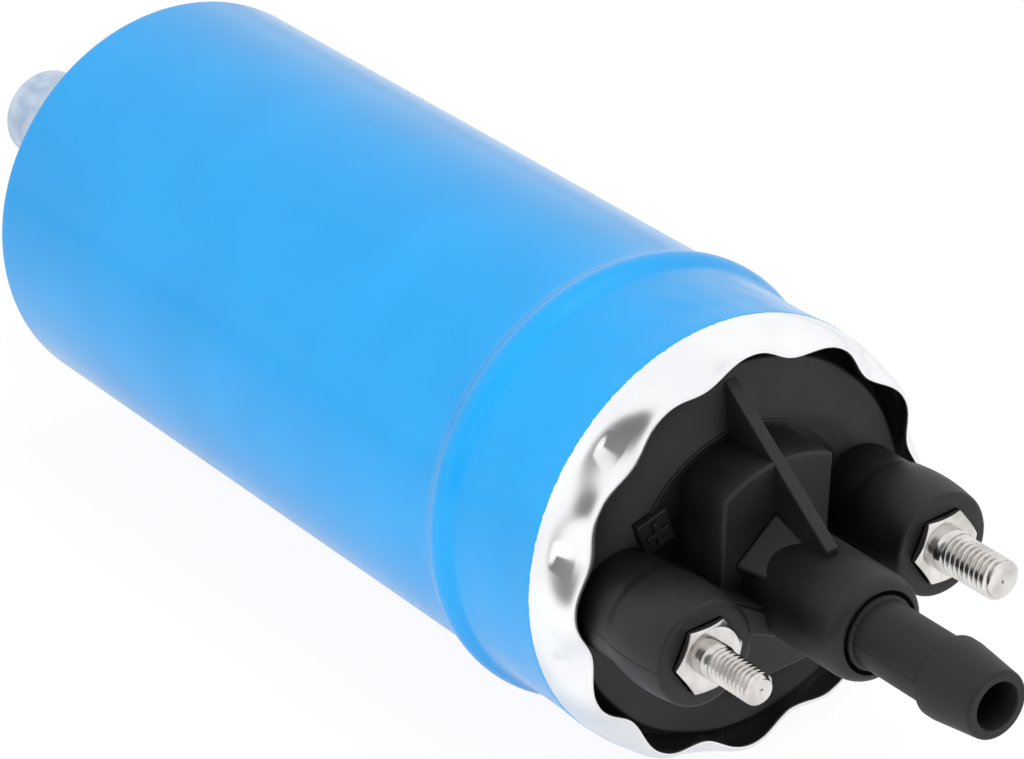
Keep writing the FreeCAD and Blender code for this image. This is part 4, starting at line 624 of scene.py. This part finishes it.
def capShells():
    # The flange and floor are a profile carried round the axis; the other forms stand on the floor along it
    root = cap["root"]
    flange = roundedLine(
        [[cap["flangeStart"], cap["flangeBore"]], [cap["flangeStart"], cap["flange"]], [cap["shoulder"], cap["flange"]],
         [cap["floor"], cap["flange"] - cap["coneRun"]], [cap["floor"], cap["plateauRadius"]],
         [cap["plateau"], cap["plateauRadius"]], [cap["plateau"], cap["middle"]], [cap["back"], cap["middle"]],
         [cap["back"], cap["flangeBore"]]], cap["rounding"], 4)
    shells = [turned(flange, cap["columns"]), block(hubOutline(), root, hub["front"], hub["edge"])]
    # The flat beside the outlet boss tapers from its base to its front
    base, front = [turnedBox((0, 0), *ledge[box], ledge["turn"], ledge["corner"]) for box in ("baseBox", "frontBox")]
    rows = []
    for share, inset in ledge["rows"]:
        station = ledge["base"] + (ledge["front"] - ledge["base"]) * share
        rows.append(np.column_stack([np.full(len(base), station), insetLoop(base + (front - base) * share, inset)]))
    shells.append(skin(np.array(rows)))
    webLine = roundedLine(web["outline"], web["corner"], 3, closed=True)
    shells.append(block(webLine, root, ledge["front"], web["edge"]))
    ribLine = roundedLine([[rib["foot"], root], [rib["reach"], root], [rib["reach"], cap["floor"]],
                           [rib["frontReach"], rib["front"]], [rib["foot"], rib["front"]]],
                          [0, 0, rib["corner"], rib["corner"], 0], 4, closed=True)
    points, quads, caps = block(ribLine, -rib["half"], rib["half"], rib["edge"], bothEnds=True)
    shells.append((points[:, [2, 0, 1]], quads, caps))
    stations, radii = bossOutline()
    ridge = boss["seamRows"]
    for side in (1, -1):
        centre = (boss["place"] * side, 0.0)
        shells.append(skin(roundAxis(stations, radii, boss["columns"], centre)))
        outwards = 0 if side > 0 else 180
        shells.append(seam(centre, outwards, stations[ridge, 0], radii[ridge, 0], boss["seamWidth"],
                           boss["seamHeight"]))
    # The outlet boss ends in a quarter ellipse round the nozzle's seat
    arc = quarter(10)
    bend = outlet["front"] - outlet["roundAlong"]
    depth = outlet["front"] - outlet["recessDepth"]
    profile = np.concatenate([
        [[root, core], [root, outlet["radius"]]],
        np.stack([bend + outlet["roundAlong"] * np.sin(arc),
                  outlet["radius"] - outlet["roundAcross"] * (1 - np.cos(arc))], -1),
        [[outlet["front"], outlet["recess"] + outlet["mouthGap"]],
         [outlet["front"] - outlet["mouthDepth"], outlet["recess"]], [depth, outlet["recess"]],
         [depth, outlet["bore"]], [depth - outlet["boreDepth"], outlet["bore"]], [depth - outlet["boreDepth"], core]]])
    shells.append(turned(profile, outlet["columns"], False))
    half = pad["half"]
    top = cap["plateau"] + pad["rise"]
    square = turnedBox(pad["place"], (-half, -half), (half, half), pad["turn"], pad["corner"])
    shells.append(block(square, root, top, pad["edge"]))
    plus = turnedOutline(plusOutline(pad["arm"], pad["bar"]), pad["place"], pad["turn"], pad["plusCorner"], 2)
    shells.append(block(plus, top - pad["plusRoot"], top + pad["plusRise"], pad["plusEdge"]))
    return shells


makePiece("endCap", capShells(), made["glassFilledNylon"], ["end_cap"])
print("cap made")

# Terminals: a tail, a hexagon with a turned chamfer, a plain land and a rolled thread. The tip and its dimple are
# offsets along and across; a row of the hexagon's edge is its distance behind the cone and its share of the radius
hexagonCollar = {"flat": 3.86, "corner": 4.44, "start": 131.6, "front": 133.65, "slope": 0.6, "coneFrom": 0.97,
                 "face": 0.965, "edgeRows": ((0.1, 1.0), (0.02, 0.996), (0.0, 0.985)), "faceRows": (1.0, 0.985, 0.6),
                 "columns": 144}
studs = {
    "terminal_stud_m5": {"piece": "largerStud", "centre": 16.4, "radius": 2.5, "pitch": 0.8, "reach": 8.9},
    "terminal_stud_m4": {"piece": "smallerStud", "centre": -16.4, "radius": 2.0, "pitch": 0.7, "reach": 8.2},
}
studShape = {"tail": 107.0, "tailChamfer": 0.5, "landStart": 131.6, "start": 133.9, "land": 1.2, "landOver": 0.12,
             "landEdge": 0.1, "threadUnder": 0.06, "threadDepth": 0.66, "rowsPerPitch": 14, "crestShare": 0.14,
             "flankShare": 0.76, "rounded": 0.2, "fadeIn": 0.6, "fadeOut": 0.5, "fadeEnd": 0.1, "plainTip": 0.02,
             "bodyEnd": 0.35, "landStep": 0.05, "core": 0.05,
             "tip": ((-0.3, -0.06), (-0.12, -0.32), (-0.03, -0.5), (0.0, -0.69)),
             "dimple": ((0.0, 0.32), (-0.03, 0.26), (-0.28, 0.03)), "columns": 96}


def hexShell(centre):
    # A hexagon whose front corners a cone cuts: station = front - (r - 0.97 flat) slope
    size = hexagonCollar
    degrees = np.arange(size["columns"]) * 360 / size["columns"]
    radius = np.minimum(hexagonRadius(size["flat"], degrees), size["corner"])
    cone = size["front"] - np.maximum(radius - size["flat"] * size["coneFrom"], 0) * size["slope"]
    face = 0 * cone + size["front"]
    ring = 0 * radius + size["flat"] * size["face"]
    stations = np.array([0 * cone + size["start"]] + [cone - behind for behind, _ in size["edgeRows"]]
                        + [face for _ in size["faceRows"]])
    radii = np.array([radius] + [radius * part for _, part in size["edgeRows"]]
                     + [ring * part for part in size["faceRows"]])
    return skin(roundAxis(stations, radii, size["columns"], (centre, 0.0)))


def studShells(size):
    # r = crest - depth vee(station / pitch - angle): a helical vee that fades in after the land and out at the tip
    shape = studShape
    front, tail, chamfer = shape["start"], shape["tail"], shape["tailChamfer"]
    tip = front + size["reach"]
    crest = size["radius"] - shape["threadUnder"]
    land = size["radius"] + shape["landOver"]
    landEnd = front + shape["land"]
    body = np.arange(landEnd + shape["landEdge"], tip - shape["bodyEnd"], size["pitch"] / shape["rowsPerPitch"])
    profile = np.concatenate([
        [[tail, shape["core"]], [tail, crest - chamfer], [tail + chamfer, crest], [shape["landStart"], crest],
         [shape["landStart"] + shape["landStep"], land], [front, land], [landEnd - shape["landEdge"], land],
         [landEnd, crest]],
        np.stack([body, np.full(len(body), crest)], -1),
        np.array(shape["tip"]) + [tip, crest], np.array(shape["dimple"]) + [tip, 0]])
    columns = shape["columns"]
    angle = np.arange(columns) * turn / columns
    station, radius = profile[:, :1], profile[:, 1:]
    phase = (station / size["pitch"] - angle / turn) % 1
    vee = np.clip((1 - np.abs(2 * phase - 1) - shape["crestShare"]) / shape["flankShare"], 0, 1)
    vee = shape["rounded"] * smooth(vee) + (1 - shape["rounded"]) * vee
    fadeIn = np.clip((station - landEnd) / (size["pitch"] * shape["fadeIn"]), 0, 1)
    fade = fadeIn * np.clip((tip + shape["fadeEnd"] - station) / shape["fadeOut"], 0, 1)
    # No thread on the tip's own face
    radius = radius - size["pitch"] * shape["threadDepth"] * vee * fade * (station < tip - shape["plainTip"])
    return [skin(roundAxis(station + 0 * angle, radius, columns, (size["centre"], 0.0))), hexShell(size["centre"])]


for node, size in studs.items():
    makePiece(size["piece"], studShells(size), made["nickelPlatedSteel"], [node])
print("terminals made")

# Outlet nozzle: neck with a small flange at its seat, barb, tapered tip and bore
nozzle = {"start": 131.0, "neck": 4.05, "bore": 2.7, "flange": 4.4, "flangeStart": 141.3, "flangeEnd": 141.9,
          "barb": 152.7, "land": 4.75, "landStart": 153.2, "landEnd": 154.4, "tip": 161.0, "tipRadius": 3.95,
          "flangeRise": 0.1, "flangeFall": 0.15, "mouthGap": 0.15, "mouthDepth": 0.3,
          "rounding": (0, 0, 0, 0.05, 0.08, 0.1, 0.2, 0.3, 0.9, 0.5, 0.06, 0.1),
          "seamTurn": 172, "seamStart": 142.1, "seamGap": 0.3, "seamWidth": 0.16, "seamHeight": 0.04, "columns": 160}


def nozzleShells():
    # A (station, radius) profile with an arc at each corner, carried round the axis
    size = nozzle
    profile = roundedLine(
        [[size["start"], size["bore"]], [size["start"], size["neck"]], [size["flangeStart"], size["neck"]],
         [size["flangeStart"] + size["flangeRise"], size["flange"]], [size["flangeEnd"], size["flange"]],
         [size["flangeEnd"] + size["flangeFall"], size["neck"]], [size["barb"], size["neck"]],
         [size["landStart"], size["land"]], [size["landEnd"], size["land"]], [size["tip"], size["tipRadius"]],
         [size["tip"], size["bore"] + size["mouthGap"]], [size["tip"] - size["mouthDepth"], size["bore"]]],
        size["rounding"], 6)
    line = seam((0, 0), size["seamTurn"], [size["seamStart"], size["barb"] - size["seamGap"]], [size["neck"]] * 2,
                size["seamWidth"], size["seamHeight"])
    return [turned(profile, size["columns"]), line]


makePiece("outletNozzle", nozzleShells(), made["mouldedAcetal"], ["outlet_nozzle"])

# Inlet fitting: a plain stub with a collar against the can's closed end
inlet = {"reach": -32.8, "radius": 6.0, "bore": 4.0, "collar": 9.0, "collarStart": -1.2, "face": 0.5,
         "shank": 6.5, "seat": 2.5, "flange": 10.0, "flangeEnd": 3.8,
         "rounding": (0.3, 0.6, 0.25, 0.3, 0.1, 0, 0, 0, 0, 0), "columns": 128}


def inletShells():
    # A (station, radius) profile with an arc at each corner, carried round the axis
    size = inlet
    profile = roundedLine(
        [[size["reach"], size["bore"]], [size["reach"], size["radius"]], [size["collarStart"], size["radius"]],
         [size["collarStart"], size["collar"]], [size["face"], size["collar"]], [size["face"], size["shank"]],
         [size["seat"], size["shank"]], [size["seat"], size["flange"]], [size["flangeEnd"], size["flange"]],
         [size["flangeEnd"], size["bore"]]], size["rounding"], 5)
    return [turned(profile, size["columns"])]


makePiece("inletStub", inletShells(), made["zincWithPaintedBlueReflection"], ["inlet_fitting"])
print("nozzle and inlet made")

# Floor and backdrop: white paper; what the camera and reflections see is lifted to white, and the shadow stays faint
floorLook = {"height": -27.25, "reach": 2500.0, "paper": "#F4F4F4", "seenShade": 0.12, "seenLift": 0.9,
             "mirrorShade": 0.5, "mirrorLift": 0.5}


def makeFloor():
    half, height = floorLook["reach"] * millimetre, floorLook["height"] * millimetre
    mesh = bpy.data.meshes.new("floor")
    mesh.from_pydata([(-half, -half, height), (half, -half, height), (half, half, height), (-half, half, height)],
                     [], [(0, 1, 2, 3)])
    floor = bpy.data.objects.new("floor", mesh)
    bpy.context.scene.collection.objects.link(floor)
    material = bpy.data.materials.new("whitePaper")
    tree = newTree(material)
    path = addNode(tree, "ShaderNodeLightPath")
    surface = addNode(tree, "ShaderNodeBsdfDiffuse", {"Color": linear(floorLook["paper"])})
    rays = (("Is Glossy Ray", "mirrorShade", "mirrorLift"), ("Is Camera Ray", "seenShade", "seenLift"))
    for ray, shade, lift in rays:
        paper = addNode(tree, "ShaderNodeBsdfDiffuse", {"Color": (*[floorLook[shade]] * 3, 1)})
        glow = addNode(tree, "ShaderNodeEmission", {"Color": (1, 1, 1, 1), "Strength": floorLook[lift]})
        lit = addNode(tree, "ShaderNodeAddShader")
        tree.links.new(paper.outputs[0], lit.inputs[0])
        tree.links.new(glow.outputs[0], lit.inputs[1])
        mix = addNode(tree, "ShaderNodeMixShader", {}, {"Fac": path.outputs[ray]})
        tree.links.new(surface.outputs[0], mix.inputs[1])
        tree.links.new(lit.outputs[0], mix.inputs[2])
        surface = mix
    addNode(tree, "ShaderNodeOutputMaterial", {}, {"Surface": surface})
    mesh.materials.append(material)


# The studio: even light, white seen by the camera, and for reflections a white tent with one dark opening
studio = {"even": 0.45, "tent": 1.1, "opening": (0.45, -0.78, 0.42), "openingInner": 0.93, "openingOuter": 0.76,
          "dark": 0.2, "seen": 1.0}


def makeStudio():
    world = bpy.data.worlds.new("studioTent")
    bpy.context.scene.world = world
    tree = newTree(world)
    # Brightness follows the cosine between a ray and the opening's direction
    direction = addNode(tree, "ShaderNodeTexCoord").outputs["Generated"]
    towards = np.array(studio["opening"]) / np.linalg.norm(studio["opening"])
    cosine = addNode(tree, "ShaderNodeVectorMath", {"operation": "DOT_PRODUCT"})
    tree.links.new(direction, cosine.inputs[0])
    cosine.inputs[1].default_value = towards.tolist()
    tent = addNode(tree, "ShaderNodeMapRange", {"interpolation_type": "SMOOTHSTEP", "From Min": studio["openingOuter"],
                                                "From Max": studio["openingInner"], "To Min": studio["tent"],
                                                "To Max": studio["dark"]}, {"Value": cosine.outputs["Value"]})
    even = addNode(tree, "ShaderNodeBackground", {"Color": (1, 1, 1, 1), "Strength": studio["even"]})
    mirrored = addNode(tree, "ShaderNodeBackground", {"Color": (1, 1, 1, 1)}, {"Strength": tent})
    white = addNode(tree, "ShaderNodeBackground", {"Color": (1, 1, 1, 1), "Strength": studio["seen"]})
    path = addNode(tree, "ShaderNodeLightPath")
    forGloss = addNode(tree, "ShaderNodeMixShader", {}, {"Fac": path.outputs["Is Glossy Ray"]})
    tree.links.new(even.outputs[0], forGloss.inputs[1])
    tree.links.new(mirrored.outputs[0], forGloss.inputs[2])
    forCamera = addNode(tree, "ShaderNodeMixShader", {}, {"Fac": path.outputs["Is Camera Ray"]})
    tree.links.new(forGloss.outputs[0], forCamera.inputs[1])
    tree.links.new(white.outputs[0], forCamera.inputs[2])
    addNode(tree, "ShaderNodeOutputWorld", {}, {"Surface": forCamera})


# Each lamp: where it stands and its size in metres, and its power in watts; the tent alone shows in reflections
lamps = {
    "topSoftbox": {"place": (0.25, 0.25, 0.7), "size": 0.6, "power": 3.9},
    "sideSoftbox": {"place": (0.3, -0.58, 0.32), "size": 0.5, "power": 3.3},
}
aim = np.array([0.04, 0.0, 0.0])  # the point that both face
lampUp = [0.0, 1.0, 0.2]  # a lamp's own up lies near this direction


def makeLamp(name, place, size, power):
    data = bpy.data.lights.new(name, "AREA")
    data.shape = "SQUARE"
    data.size = size
    data.energy = power
    lamp = bpy.data.objects.new(name, data)
    lamp.visible_glossy = False
    bpy.context.scene.collection.objects.link(lamp)
    back = np.array(place) - aim
    back = back / np.linalg.norm(back)
    side = np.cross(lampUp, back)
    side = side / np.linalg.norm(side)
    axes = np.stack([side, np.cross(back, side), back], 1)
    lamp.matrix_world = Matrix([[*row, at] for row, at in zip(axes.tolist(), place)] + [[0, 0, 0, 1]])


# Camera solved from the photograph's outlines: place in metres, its right, up and backward directions
cameraView = {"place": (0.44119, -0.27133, 0.28028), "right": (0.58109, 0.81028, -0.07612),
              "over": (-0.35886, 0.33905, 0.86963), "back": (0.73045, -0.47802, 0.48779), "lens": 171.24,
              "sensor": 36.0, "near": 0.01, "far": 20.0}


def makeCamera():
    data = bpy.data.cameras.new("photoCamera")
    data.sensor_width = cameraView["sensor"]
    data.sensor_fit = "HORIZONTAL"
    data.lens = cameraView["lens"]
    data.clip_start = cameraView["near"]
    data.clip_end = cameraView["far"]
    camera = bpy.data.objects.new("photoCamera", data)
    bpy.context.scene.collection.objects.link(camera)
    axes = np.array([cameraView["right"], cameraView["over"], cameraView["back"]]).T
    rows = [[*axes[i].tolist(), cameraView["place"][i]] for i in range(3)]
    camera.matrix_world = Matrix(rows + [[0, 0, 0, 1]])
    bpy.context.scene.camera = camera


makeFloor()
makeStudio()
for name, lamp in lamps.items():
    makeLamp(name, lamp["place"], lamp["size"], lamp["power"])
makeCamera()
bpy.context.scene.view_settings.view_transform = "Standard"
print("floor, lamps and camera made")
